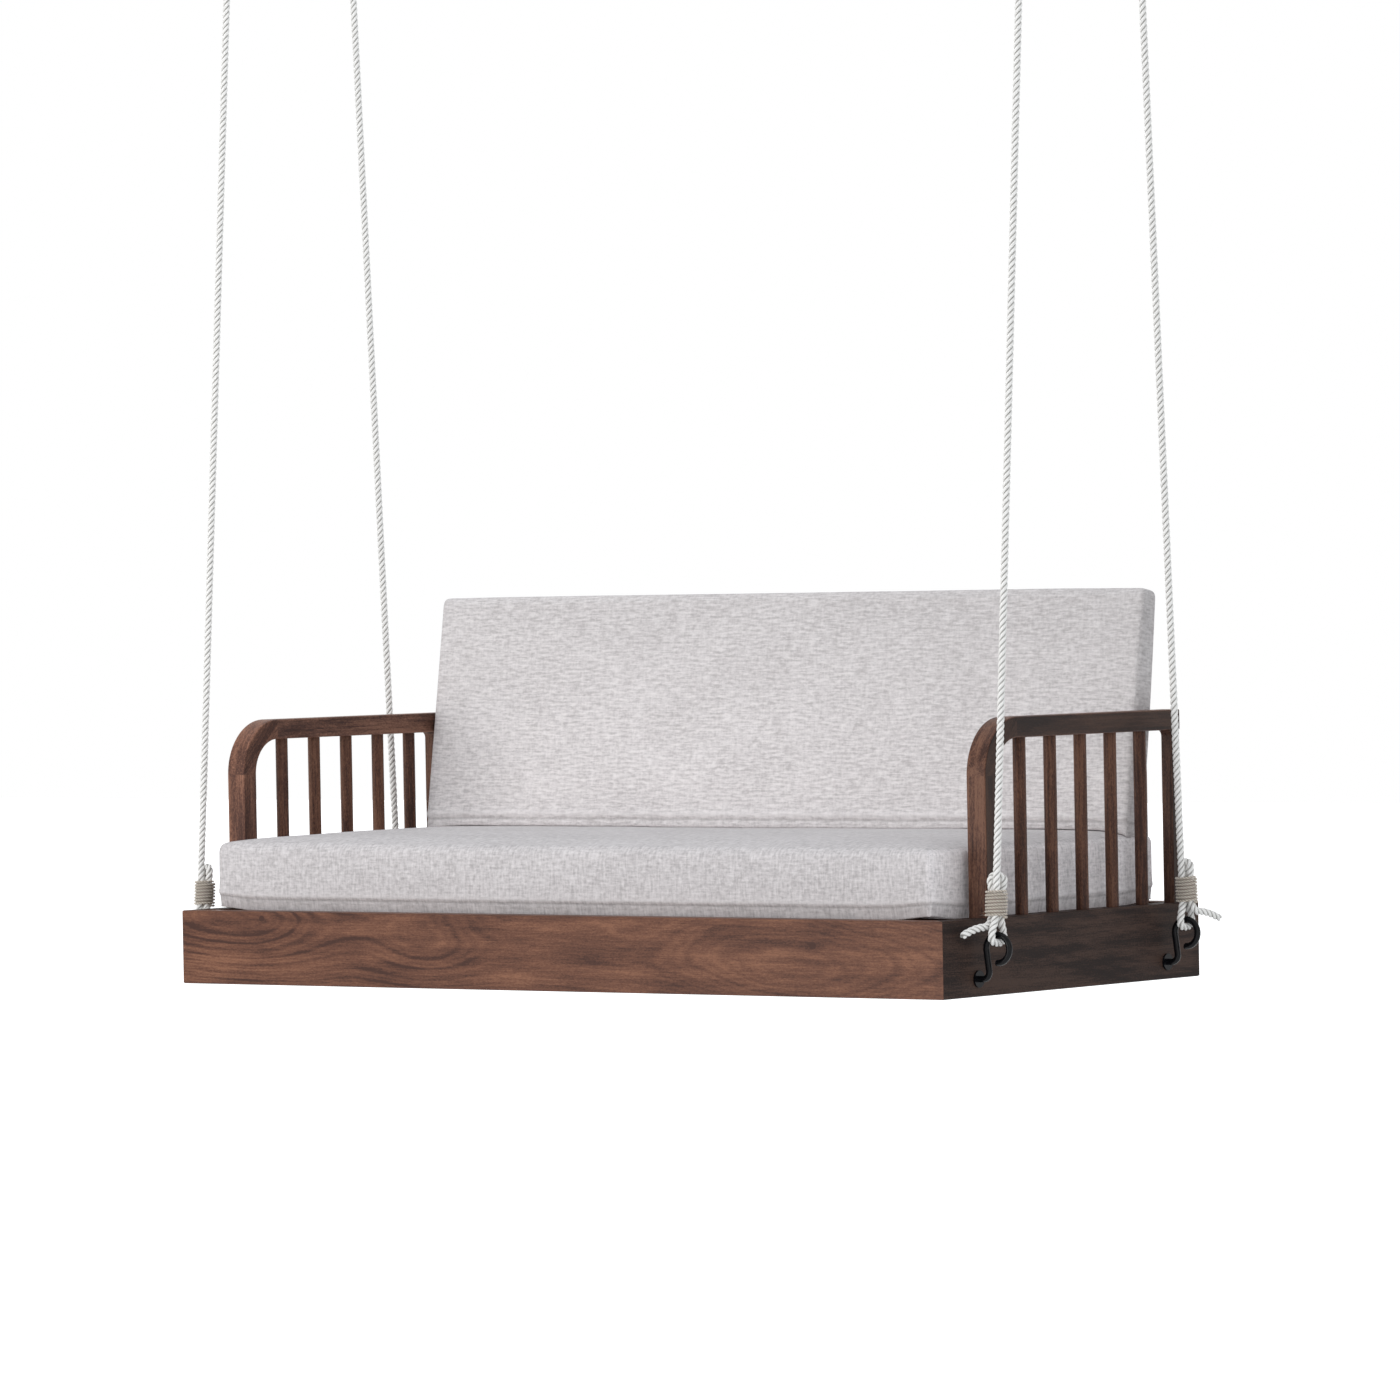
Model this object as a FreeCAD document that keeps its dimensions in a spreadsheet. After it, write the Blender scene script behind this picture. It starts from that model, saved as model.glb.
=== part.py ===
"""Hanging wooden swing seat: slatted box frame, spindle arms, two loose cushions and four ropes.

Frame of the model: the origin lies on the ceiling, in the middle of the four ceiling eyes, with +Z up.
X runs along the seat and the seat faces -Y. All sizes are millimetres and all angles degrees.
"""
import FreeCAD, Part
import Sketcher
import math
import os

from FreeCAD import Placement, Rotation, Vector

os.makedirs("parts", exist_ok=True)
doc = FreeCAD.newDocument("swing")

# Driving dimensions

SIZES = {
    # Box frame
    "frame_length": 1500, "frame_depth": 700, "rail_height": 118, "rail_thickness": 35, "rail_arris": 1.5,
    "block_side": 40, "block_height": 60, "block_recess": 3,
    # Slatted deck
    "deck_recess": 3, "slat_count": 9, "slat_width": 110, "slat_thickness": 18, "slat_end_gap": 2,
    "ledger_width": 30, "ledger_height": 30, "bearer_width": 30, "bearer_height": 45,
    "screw_radius": 2, "screw_length": 38, "screw_head_radius": 4, "screw_head_height": 3.2,
    # Arms
    "arm_width": 35, "arm_thickness": 32, "arm_height": 303, "arm_setback": 119, "arm_rear_setback": 45,
    "arm_curve_radius": 88, "arm_rounding": 2.5, "tenon_thickness": 15, "tenon_shoulder": 5,
    "tenon_depth": 30, "rear_post_width": 20, "rear_post_depth": 22, "rear_post_cove": 10,
    "stub_tenon_shoulder": 4, "stub_tenon_depth": 16,
    "spindle_radius": 10, "spindle_count": 5, "spindle_start": 117.5, "spindle_end": 87.7,
    "socket_depth": 18,
    # Back rest behind the cushion
    "back_inset": 90, "back_post_width": 35, "back_post_depth": 27, "back_rail_height": 32,
    "back_spindle_count": 9,
    # Cushions
    "seat_cushion_inset": 45, "seat_cushion_front": 38, "seat_cushion_rear": 60,
    "seat_cushion_edge": 94, "seat_cushion_crown": 24, "cushion_bulge": 6, "cushion_draw": 3,
    "back_cushion_height": 386, "back_cushion_edge": 50, "back_cushion_crown": 7,
    "back_cushion_lean_deg": 8,
    # Hooks in the side rails
    "hook_setback": 92, "hook_height": 27, "hook_wire": 10, "hook_bend_radius": 11, "hook_reach": 37,
    "hook_rise": 46, "hook_ring_radius": 21, "hook_leg_lean_deg": 8, "hook_tip_inset": 3.6,
    "hook_tip_round": 3, "hook_spare": 4, "flange_radius": 13, "flange_thickness": 3,
    "nut_across": 17, "nut_height": 8,
    # Ceiling eyes
    "plate_side": 80, "plate_thickness": 6, "plate_hole_radius": 3.5, "plate_hole_spacing": 56,
    "weld_sink": 2, "eye_spread": 310, "hang_drop": 1646, "hang_offset": 20,
    # Ropes and their lashings
    "rope_diameter": 12, "twine_diameter": 3.8, "twine_pitch": 4.3, "twine_turns": 7, "twine_start": 30.1,
    "twine_lead": 3.8,
    # Clearances
    "joint_clearance": 0.1, "pin_clearance": 0.05, "soft_clearance": 0.3, "cut_overrun": 5,
}

sheet = doc.addObject("Spreadsheet::Sheet", "sizes")
for row, (alias, value) in enumerate(SIZES.items(), start=1):
    sheet.set(f"A{row}", alias)
    sheet.set(f"B{row}", str(value))
    sheet.setAlias(f"B{row}", alias)
doc.recompute()


def size(alias):
    """The value of one named cell."""
    return float(sheet.get(alias))


# Places that several pieces share, as expressions on the sheet

PLATE_BOTTOM = "(-sizes.plate_thickness)"
EYE_CENTRE = f"({PLATE_BOTTOM} - sizes.hook_ring_radius - sizes.hook_wire / 2 + sizes.weld_sink)"
UPPER_AXIS = f"({EYE_CENTRE} - sizes.hook_ring_radius)"
LOWER_AXIS = f"({UPPER_AXIS} - sizes.hang_drop)"
HOOK_AXIS = f"({LOWER_AXIS} - sizes.hook_ring_radius - sizes.hook_rise)"
FRAME_BOTTOM = f"({HOOK_AXIS} - sizes.hook_height)"
FRAME_TOP = f"({FRAME_BOTTOM} + sizes.rail_height)"
SLAT_BOTTOM = f"({FRAME_TOP} - sizes.deck_recess - sizes.slat_thickness)"
FRAME_RIGHT = "(sizes.frame_length / 2)"
FRAME_LEFT = "(-sizes.frame_length / 2)"
FRAME_FRONT = "(-sizes.hang_offset - sizes.frame_depth / 2)"
FRAME_REAR = f"({FRAME_FRONT} + sizes.frame_depth)"
INNER_LENGTH = "(sizes.frame_length - 2 * sizes.rail_thickness)"
ROPE_X = "(sizes.frame_length / 2 + sizes.hook_reach)"
FRONT_HOOK_Y = f"({FRAME_FRONT} + sizes.hook_setback)"
REAR_HOOK_Y = f"({FRAME_REAR} - sizes.hook_setback)"

nodes = []


def keep(item, label):
    """Take an object as one finished piece under its label."""
    item.Label = label
    nodes.append(item)
    return item


def value_of(expression):
    """The number that an expression on the sheet stands for."""
    return float(sheet.evalExpression(expression))


# Drawing helpers

def bind(item, bindings):
    """Bind properties of an object to expressions on the sheet."""
    for path, expression in bindings.items():
        item.setExpression(path, expression)
    return item


def put(item, x="0", y="0", z="0"):
    """Bind the place of an object."""
    return bind(item, {"Placement.Base.x": x, "Placement.Base.y": y, "Placement.Base.z": z})


def box(name, length, width, height, x="0", y="0", z="0"):
    """A Part box with bound sizes and place."""
    item = doc.addObject("Part::Box", name)
    return put(bind(item, {"Length": length, "Width": width, "Height": height}), x, y, z)


def rod(name, radius, height, x="0", y="0", z="0", axis=None, angle=0):
    """A Part cylinder with bound sizes and place, turned about an axis where one is given."""
    item = doc.addObject("Part::Cylinder", name)
    if axis:
        item.Placement = Placement(Vector(), Rotation(axis, angle))
    return put(bind(item, {"Radius": radius, "Height": height}), x, y, z)


def cut(name, base, tool):
    """A Part cut of one object by another."""
    item = doc.addObject("Part::Cut", name)
    item.Base = base
    item.Tool = tool
    return item


def joined(name, items):
    """A Part fusion of several objects."""
    item = doc.addObject("Part::MultiFuse", name)
    item.Shapes = items
    return item


def group(name, items):
    """Several alike solids as one object."""
    item = doc.addObject("Part::Compound", name)
    item.Links = items
    return item


def new_body(name):
    """An empty PartDesign body."""
    return doc.addObject("PartDesign::Body", name)


def new_sketch(body, name, role, lift=None):
    """A sketch on an origin plane of its body, lifted along the plane's normal where told."""
    sketch = body.newObject("Sketcher::SketchObject", name)
    plane = next(item for item in body.Origin.OriginFeatures if item.Role == role)
    sketch.AttachmentSupport = [(plane, "")]
    sketch.MapMode = "FlatFace"
    if lift:
        sketch.setExpression("AttachmentOffset.Base.z", lift)
    return sketch


def pin_point(sketch, geometry, end, x, y):
    """Hold one point of a sketch at two expressions, measured from the origin."""
    for kind, axis, expression in (("DistanceX", -2, x), ("DistanceY", -1, y)):
        if expression == "0":
            sketch.addConstraint(Sketcher.Constraint("PointOnObject", geometry, end, axis))
            continue
        number = value_of(expression)
        index = sketch.addConstraint(Sketcher.Constraint(kind, -1, 1, geometry, end, number))
        sketch.setExpression(f"Constraints[{index}]", expression)


def hold_radius(sketch, geometry, radius):
    """Bind the radius of a circle or an arc of a sketch."""
    index = sketch.addConstraint(Sketcher.Constraint("Radius", geometry, value_of(radius)))
    sketch.setExpression(f"Constraints[{index}]", radius)


def point_of(place):
    """A sketch point at a pair of expressions."""
    return Vector(value_of(place[0]), value_of(place[1]), 0)


def draw_path(sketch, corners, arcs=None, closed=True):
    """Lines through corners given as pairs of expressions.

    arcs turns the edge that leaves a corner into an arc: corner number -> (centre, radius, turns left).
    """
    arcs = arcs or {}
    count = len(corners)
    ends = []
    for step in range(count if closed else count - 1):
        start = point_of(corners[step])
        stop = point_of(corners[(step + 1) % count])
        if step not in arcs:
            index = sketch.addGeometry(Part.LineSegment(start, stop), False)
            ends.append((index, 1, 2))
            continue
        centre, radius, turns_left = arcs[step]
        middle = point_of(centre)
        first, last = (start, stop) if turns_left else (stop, start)
        angles = [math.atan2(spot.y - middle.y, spot.x - middle.x) for spot in (first, last)]
        circle = Part.Circle(middle, Vector(0, 0, 1), value_of(radius))
        index = sketch.addGeometry(Part.ArcOfCircle(circle, *angles), False)
        hold_radius(sketch, index, radius)
        ends.append((index, 1, 2) if turns_left else (index, 2, 1))
    for step, (index, start, stop) in enumerate(ends):
        pin_point(sketch, index, start, *corners[step])
        if closed or step + 1 < len(ends):
            follower = ends[(step + 1) % len(ends)]
            sketch.addConstraint(Sketcher.Constraint("Coincident", index, stop, follower[0], follower[1]))
        else:
            pin_point(sketch, index, stop, *corners[-1])


def draw_circle(sketch, radius, x, y):
    """A circle whose radius and centre are expressions."""
    circle = Part.Circle(point_of((x, y)), Vector(0, 0, 1), value_of(radius))
    index = sketch.addGeometry(circle, False)
    hold_radius(sketch, index, radius)
    pin_point(sketch, index, 3, x, y)


def draw_rectangle(sketch, x, y, length, width):
    """A rectangle from its lower left corner."""
    far_x = f"({x}) + ({length})"
    far_y = f"({y}) + ({width})"
    draw_path(sketch, [(x, y), (far_x, y), (far_x, far_y), (x, far_y)])


def pad(body, sketch, name, length):
    """A pad along the sketch's normal."""
    item = body.newObject("PartDesign::Pad", name)
    item.Profile = sketch
    item.setExpression("Length", length)
    doc.recompute()
    return item


def pocket(body, sketch, name, length, upward=False):
    """A pocket against the sketch's normal, or along it, measured to be sure it takes material away."""
    before = body.Shape.Volume
    item = body.newObject("PartDesign::Pocket", name)
    item.Profile = sketch
    item.Reversed = upward
    item.setExpression("Length", length)
    doc.recompute()
    if body.Shape.Volume >= before:
        raise RuntimeError(f"{name} takes nothing away")
    return item


def repeat(body, feature, sketch, name, axis, count, pitch):
    """A row of copies of a feature along an axis of its sketch."""
    item = body.newObject("PartDesign::LinearPattern", name)
    item.Originals = [feature]
    item.Direction = (sketch, [axis])
    item.setExpression("Occurrences", count)
    item.setExpression("Length", f"({pitch}) * (({count}) - 1)")
    body.Tip = item
    doc.recompute()
    return item


def near(first, second):
    """Whether two lengths agree within the working tolerance of an edge test."""
    return math.isclose(first, second, abs_tol=EDGE_TEST)


def soften(body, feature, name, kind, size_name, expression, test):
    """A fillet or a chamfer on the edges of a feature whose middle points pass a test."""
    names = []
    for number, edge in enumerate(feature.Shape.Edges, start=1):
        middle = edge.valueAt((edge.FirstParameter + edge.LastParameter) / 2)
        if test(edge, middle):
            names.append(f"Edge{number}")
    item = body.newObject(kind, name)
    item.Base = (feature, names)
    item.setExpression(size_name, expression)
    doc.recompute()
    return item


EDGE_TEST = 1e-4

# Box frame: four mitred boards, blocks in the corners


def mitred_board(label, length, turn, x, y):
    """A board with mitred ends, drawn along its outer face, with softened long outer edges."""
    body = new_body(label)
    outline = new_sketch(body, f"{label}_outline", "XY_Plane")
    inner_end = f"{length} - sizes.rail_thickness"
    corners = [("0", "0"), (length, "0"), (inner_end, "sizes.rail_thickness"),
               ("sizes.rail_thickness", "sizes.rail_thickness")]
    draw_path(outline, corners)
    board = pad(body, outline, f"{label}_board", "sizes.rail_height")
    soften(body, board, f"{label}_arris", "PartDesign::Chamfer", "Size", "sizes.rail_arris",
           lambda edge, middle: near(middle.y, 0) and near(edge.Length, value_of(length)))
    body.Placement = Placement(Vector(), Rotation(Vector(0, 0, 1), turn))
    put(body, x, y, FRAME_BOTTOM)
    doc.recompute()
    return keep(body, label)


front_rail = mitred_board("front_rail", "sizes.frame_length", 0, FRAME_LEFT, FRAME_FRONT)
rear_rail = mitred_board("rear_rail", "sizes.frame_length", 180, FRAME_RIGHT, FRAME_REAR)
right_rail = mitred_board("right_rail", "sizes.frame_depth", 90, FRAME_RIGHT, FRAME_FRONT)
left_rail = mitred_board("left_rail", "sizes.frame_depth", -90, FRAME_LEFT, FRAME_REAR)

# Places of the pieces of an arm along a side rail, and the mortises they need

ARM_FRONT = f"({FRAME_FRONT} + sizes.arm_setback)"
ARM_LENGTH = "(sizes.frame_depth - sizes.arm_setback - sizes.arm_rear_setback)"
ARM_REAR = f"({ARM_FRONT} + {ARM_LENGTH})"
SPINDLE_ROW = f"({ARM_LENGTH} - sizes.spindle_start - sizes.spindle_end)"
SPINDLE_PITCH = f"({SPINDLE_ROW} / (sizes.spindle_count - 1))"
POST_TOP = "(sizes.arm_height - sizes.arm_curve_radius)"
RAIL_UNDERSIDE = "(sizes.arm_height - sizes.arm_thickness)"
ARM_SIDES = {"left": FRAME_LEFT, "right": f"({FRAME_RIGHT} - sizes.arm_width)"}
REAR_POST_X = {"left": "0", "right": "(sizes.arm_width - sizes.rear_post_width)"}
TENON_Y = "((sizes.rail_thickness - sizes.tenon_thickness) / 2)"
ARM_TENON = "(sizes.arm_thickness - 2 * sizes.tenon_shoulder)"
STUB_WIDTH = "(sizes.rear_post_width - 2 * sizes.stub_tenon_shoulder)"
STUB_DEPTH = "(sizes.rear_post_depth - 2 * sizes.stub_tenon_shoulder)"
STUB_START = f"({ARM_LENGTH} - sizes.rear_post_depth + sizes.stub_tenon_shoulder)"
CLEAR = "sizes.joint_clearance"


def mortise(body, name, x, y, length, width, depth, level, upward=False):
    """A rectangular pocket that clears a tenon of the given place and size all round."""
    sketch = new_sketch(body, f"{name}_outline", "XY_Plane", level)
    draw_rectangle(sketch, f"{x} - {CLEAR}", f"{y} - {CLEAR}", f"{length} + 2 * {CLEAR}",
                   f"{width} + 2 * {CLEAR}")
    pocket(body, sketch, name, f"{depth} + {CLEAR}", upward)


def side_sockets(body, label, from_rear):
    """Mortises for both posts, sockets for the spindles and holes for both hooks of a side rail."""
    def along(place, reach="0"):
        """Place along the board of something with a reach, whose zero is the frame's front."""
        return f"(sizes.frame_depth - ({place}) - ({reach}))" if from_rear else f"({place})"

    top = "sizes.rail_height"
    mortise(body, f"{label}_front_mortise", along("sizes.arm_setback + sizes.tenon_shoulder", ARM_TENON),
            TENON_Y, ARM_TENON, "sizes.tenon_thickness", "sizes.tenon_depth", top)
    mortise(body, f"{label}_rear_mortise", along(f"sizes.arm_setback + {STUB_START}", STUB_DEPTH),
            "sizes.stub_tenon_shoulder", STUB_DEPTH, STUB_WIDTH, "sizes.stub_tenon_depth", top)
    holes = new_sketch(body, f"{label}_hook_holes", "XZ_Plane")
    for place in ("sizes.hook_setback", "sizes.frame_depth - sizes.hook_setback"):
        draw_circle(holes, f"sizes.hook_wire / 2 + {CLEAR}", place, "sizes.hook_height")
    pocket(body, holes, f"{label}_hook_hole_cut", "sizes.rail_thickness")
    socket = new_sketch(body, f"{label}_spindle_socket", "XY_Plane", top)
    draw_circle(socket, f"sizes.spindle_radius + {CLEAR}",
                along("sizes.arm_setback + sizes.spindle_start", SPINDLE_ROW), "sizes.rail_thickness / 2")
    drilled = pocket(body, socket, f"{label}_spindle_socket_cut", f"sizes.socket_depth + {CLEAR}")
    repeat(body, drilled, socket, f"{label}_spindle_sockets", "H_Axis", "sizes.spindle_count", SPINDLE_PITCH)


side_sockets(right_rail, "right_rail", False)
side_sockets(left_rail, "left_rail", True)

# Sockets of the rear rail for the back rest

BACK_FIRST = "sizes.back_inset"
BACK_SPAN = "(sizes.frame_length - 2 * sizes.back_inset)"
BACK_CLEAR_SPAN = f"({BACK_SPAN} - 2 * sizes.back_post_width)"
BACK_PITCH = f"({BACK_CLEAR_SPAN} / (sizes.back_spindle_count + 1))"
BACK_SPINDLE_START = f"({BACK_FIRST} + sizes.back_post_width + {BACK_PITCH})"
BACK_TENON = "(sizes.back_post_width - 2 * sizes.tenon_shoulder)"


def rear_sockets(body):
    """Mortises for the two back posts and a row of sockets for the back spindles."""
    top = "sizes.rail_height"
    far_post = f"{BACK_FIRST} + {BACK_SPAN} - sizes.back_post_width"
    for end, place in (("near", BACK_FIRST), ("far", far_post)):
        mortise(body, f"rear_rail_{end}_mortise", f"{place} + sizes.tenon_shoulder", TENON_Y, BACK_TENON,
                "sizes.tenon_thickness", "sizes.tenon_depth", top)
    socket = new_sketch(body, "rear_rail_socket", "XY_Plane", top)
    draw_circle(socket, f"sizes.spindle_radius + {CLEAR}", BACK_SPINDLE_START, "sizes.rail_thickness / 2")
    drilled = pocket(body, socket, "rear_rail_socket_cut", f"sizes.socket_depth + {CLEAR}")
    repeat(body, drilled, socket, "rear_rail_sockets", "H_Axis", "sizes.back_spindle_count", BACK_PITCH)


rear_sockets(rear_rail)

# Corner blocks, ledgers and bearer under the deck

LEDGER_BOTTOM = f"({SLAT_BOTTOM} - sizes.ledger_height)"
INNER_LEFT = f"({FRAME_LEFT} + sizes.rail_thickness)"
INNER_RIGHT = f"({FRAME_RIGHT} - sizes.rail_thickness)"
INNER_FRONT = f"({FRAME_FRONT} + sizes.rail_thickness)"
INNER_REAR = f"({FRAME_REAR} - sizes.rail_thickness)"

blocks = []
for block_x in (INNER_LEFT, f"{INNER_RIGHT} - sizes.block_side"):
    for block_y in (INNER_FRONT, f"{INNER_REAR} - sizes.block_side"):
        blocks.append(box("corner_block", "sizes.block_side", "sizes.block_side", "sizes.block_height",
                          block_x, block_y, f"{FRAME_BOTTOM} + sizes.block_recess"))
keep(group("corner_block_set", blocks), "corner_blocks")

SLAT_GAP = f"(({INNER_LENGTH} - sizes.slat_count * sizes.slat_width) / (sizes.slat_count + 1))"
SLAT_COUNT = int(size("slat_count"))


def slat_left(number):
    """Left edge of a slat."""
    return f"({INNER_LEFT} + {SLAT_GAP} + {number} * ({SLAT_GAP} + sizes.slat_width))"


SCREW_YS = (f"({INNER_FRONT} + sizes.ledger_width / 2)", f"({INNER_REAR} - sizes.ledger_width / 2)")
SLAT_TOP = f"({SLAT_BOTTOM} + sizes.slat_thickness)"
SCREW_BOTTOM = f"({SLAT_TOP} - sizes.screw_length)"
HEAD_BOTTOM = f"({SLAT_TOP} - sizes.screw_head_height)"


def screw_form(name, x, y, clearance):
    """A countersunk screw, or the hole for one where there is a clearance."""
    shank = rod(f"{name}_shank", f"sizes.screw_radius + {clearance}",
                f"sizes.screw_length - sizes.screw_head_height + {clearance}", x, y,
                f"{SCREW_BOTTOM} - {clearance}")
    head = doc.addObject("Part::Cone", f"{name}_head")
    bind(head, {"Radius1": f"sizes.screw_radius + {clearance}",
                "Radius2": f"sizes.screw_head_radius + {clearance}", "Height": "sizes.screw_head_height"})
    put(head, x, y, HEAD_BOTTOM)
    return joined(name, [shank, head])


def screw_row(name, y, clearance):
    """One screw form in the middle of every slat."""
    return [screw_form(f"{name}_{number + 1}", f"{slat_left(number)} + sizes.slat_width / 2", y, clearance)
            for number in range(SLAT_COUNT)]


for ledger_name, ledger_y, screw_y in (("front_ledger", INNER_FRONT, SCREW_YS[0]),
                                       ("rear_ledger", f"{INNER_REAR} - sizes.ledger_width", SCREW_YS[1])):
    strip = box(f"{ledger_name}_strip", INNER_LENGTH, "sizes.ledger_width", "sizes.ledger_height",
                INNER_LEFT, ledger_y, LEDGER_BOTTOM)
    holes = group(f"{ledger_name}_holes", screw_row(f"{ledger_name}_hole", screw_y, "sizes.pin_clearance"))
    keep(cut(f"{ledger_name}_drilled", strip, holes), ledger_name)

keep(box("centre_bearer_bar", INNER_LENGTH, "sizes.bearer_width", "sizes.bearer_height", INNER_LEFT,
         "-sizes.hang_offset - sizes.bearer_width / 2", f"{SLAT_BOTTOM} - sizes.bearer_height"),
     "centre_bearer")

for number in range(SLAT_COUNT):
    name = f"seat_slat_{number + 1}"
    board = box(f"{name}_board", "sizes.slat_width",
                f"{INNER_REAR} - {INNER_FRONT} - 2 * sizes.slat_end_gap", "sizes.slat_thickness",
                slat_left(number), f"{INNER_FRONT} + sizes.slat_end_gap", SLAT_BOTTOM)
    middle = f"{slat_left(number)} + sizes.slat_width / 2"
    holes = [screw_form(f"{name}_hole_{end + 1}", middle, SCREW_YS[end], "sizes.pin_clearance")
             for end in range(len(SCREW_YS))]
    keep(cut(f"{name}_drilled", board, group(f"{name}_holes", holes)), name)

screws = screw_row("front_screw", SCREW_YS[0], "0") + screw_row("rear_screw", SCREW_YS[1], "0")
keep(group("slat_screw_set", screws), "slat_screws")

# Arms: a front post, a curved corner, a top rail, a rear post and five spindles on each side


def lengthwise(direction):
    """A test for long straight edges that run along one direction."""
    def test(edge, middle):
        """Whether an edge is straight and runs along the direction."""
        return isinstance(edge.Curve, Part.Line) and near(abs(edge.Curve.Direction.dot(direction)), 1)
    return test


def side_curves(edge, middle):
    """Whether an edge is an arc in a side face of an arm."""
    return isinstance(edge.Curve, Part.Circle) and near(abs(edge.Curve.Axis.x), 1)


def arm_body(label, x, y):
    """A body whose zero is at the inner side, the front and the foot of a piece of an arm."""
    body = new_body(label)
    put(body, x, y, FRAME_TOP)
    return body


def add_tenon(body, name, x, y, width, depth, length, level=None):
    """A tenon below the foot of a post, or above it from a level."""
    sketch = new_sketch(body, f"{name}_outline", "XY_Plane", level)
    draw_rectangle(sketch, x, y, width, depth)
    tenon = pad(body, sketch, name, length)
    tenon.Reversed = level is None
    doc.recompute()


def front_post(side, x):
    """Straight front post with a tenon in the side rail."""
    label = f"{side}_arm_front_post"
    body = arm_body(label, x, ARM_FRONT)
    sketch = new_sketch(body, f"{label}_section", "XY_Plane")
    draw_rectangle(sketch, "0", "0", "sizes.arm_width", "sizes.arm_thickness")
    post = pad(body, sketch, f"{label}_post", POST_TOP)
    soften(body, post, f"{label}_rounding", "PartDesign::Fillet", "Radius", "sizes.arm_rounding",
           lengthwise(Vector(0, 0, 1)))
    add_tenon(body, f"{label}_tenon", "(sizes.arm_width - sizes.tenon_thickness) / 2",
              "sizes.tenon_shoulder", "sizes.tenon_thickness", ARM_TENON, "sizes.tenon_depth")
    keep(body, label)


def curved_corner(side, x):
    """Quarter ring between the front post and the top rail."""
    label = f"{side}_arm_corner"
    body = arm_body(label, x, ARM_FRONT)
    sketch = new_sketch(body, f"{label}_outline", "YZ_Plane")
    radius = "sizes.arm_curve_radius"
    inner = "sizes.arm_curve_radius - sizes.arm_thickness"
    centre = (radius, POST_TOP)
    corners = [("0", POST_TOP), (radius, "sizes.arm_height"), (radius, RAIL_UNDERSIDE),
               ("sizes.arm_thickness", POST_TOP)]
    draw_path(sketch, corners, {0: (centre, radius, False), 2: (centre, inner, True)})
    ring = pad(body, sketch, f"{label}_ring", "sizes.arm_width")
    soften(body, ring, f"{label}_rounding", "PartDesign::Fillet", "Radius", "sizes.arm_rounding",
           side_curves)
    keep(body, label)


def top_rail(side, x):
    """Straight top rail with sockets for the spindles and the rear post."""
    label = f"{side}_arm_top_rail"
    body = arm_body(label, x, ARM_FRONT)
    sketch = new_sketch(body, f"{label}_outline", "YZ_Plane")
    corners = [("sizes.arm_curve_radius", RAIL_UNDERSIDE), (ARM_LENGTH, RAIL_UNDERSIDE),
               (ARM_LENGTH, "sizes.arm_height"), ("sizes.arm_curve_radius", "sizes.arm_height")]
    draw_path(sketch, corners)
    rail = pad(body, sketch, f"{label}_bar", "sizes.arm_width")
    soften(body, rail, f"{label}_rounding", "PartDesign::Fillet", "Radius", "sizes.arm_rounding",
           lengthwise(Vector(0, 1, 0)))
    socket = new_sketch(body, f"{label}_socket", "XY_Plane", RAIL_UNDERSIDE)
    draw_circle(socket, f"sizes.spindle_radius + {CLEAR}", "sizes.arm_width / 2", "sizes.spindle_start")
    drilled = pocket(body, socket, f"{label}_socket_cut", f"sizes.socket_depth + {CLEAR}", upward=True)
    repeat(body, drilled, socket, f"{label}_sockets", "V_Axis", "sizes.spindle_count", SPINDLE_PITCH)
    mortise(body, f"{label}_mortise", f"{REAR_POST_X[side]} + sizes.stub_tenon_shoulder", STUB_START,
            STUB_WIDTH, STUB_DEPTH, "sizes.stub_tenon_depth", RAIL_UNDERSIDE, upward=True)
    keep(body, label)


def rear_post(side, x):
    """Slim rear post, coved under the top rail, with a tenon at each end."""
    label = f"{side}_arm_rear_post"
    body = arm_body(label, f"{x} + {REAR_POST_X[side]}", f"{ARM_REAR} - sizes.rear_post_depth")
    sketch = new_sketch(body, f"{label}_outline", "YZ_Plane")
    cove = "sizes.rear_post_cove"
    under = RAIL_UNDERSIDE
    corners = [("0", "0"), ("sizes.rear_post_depth", "0"), ("sizes.rear_post_depth", under),
               (f"-{cove}", under), ("0", f"{under} - {cove}")]
    draw_path(sketch, corners, {3: ((f"-{cove}", f"{under} - {cove}"), cove, False)})
    post = pad(body, sketch, f"{label}_post", "sizes.rear_post_width")
    soften(body, post, f"{label}_rounding", "PartDesign::Fillet", "Radius", "sizes.arm_rounding",
           lambda edge, middle: lengthwise(Vector(0, 0, 1))(edge, middle) and middle.y > EDGE_TEST)
    shoulder = "sizes.stub_tenon_shoulder"
    for end, level in (("foot", None), ("head", under)):
        add_tenon(body, f"{label}_{end}", shoulder, shoulder, STUB_WIDTH, STUB_DEPTH,
                  "sizes.stub_tenon_depth", level)
    keep(body, label)


def spindles(side, x):
    """Round spindles between the side rail and the top rail."""
    for number in range(int(size("spindle_count"))):
        label = f"{side}_arm_spindle_{number + 1}"
        y = f"{ARM_FRONT} + sizes.spindle_start + {number} * {SPINDLE_PITCH}"
        keep(rod(f"{label}_rod", "sizes.spindle_radius", f"{RAIL_UNDERSIDE} + 2 * sizes.socket_depth",
                 f"{x} + sizes.arm_width / 2", y, f"{FRAME_TOP} - sizes.socket_depth"), label)


for side, x in ARM_SIDES.items():
    front_post(side, x)
    curved_corner(side, x)
    top_rail(side, x)
    rear_post(side, x)
    spindles(side, x)

# Back rest that the back cushion leans on

BACK_Y = f"({FRAME_REAR} - sizes.rail_thickness / 2 - sizes.back_post_depth / 2)"
BACK_LEFT = f"({FRAME_LEFT} + sizes.back_inset)"
BACK_UNDERSIDE = "(sizes.arm_height - sizes.back_rail_height)"


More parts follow.
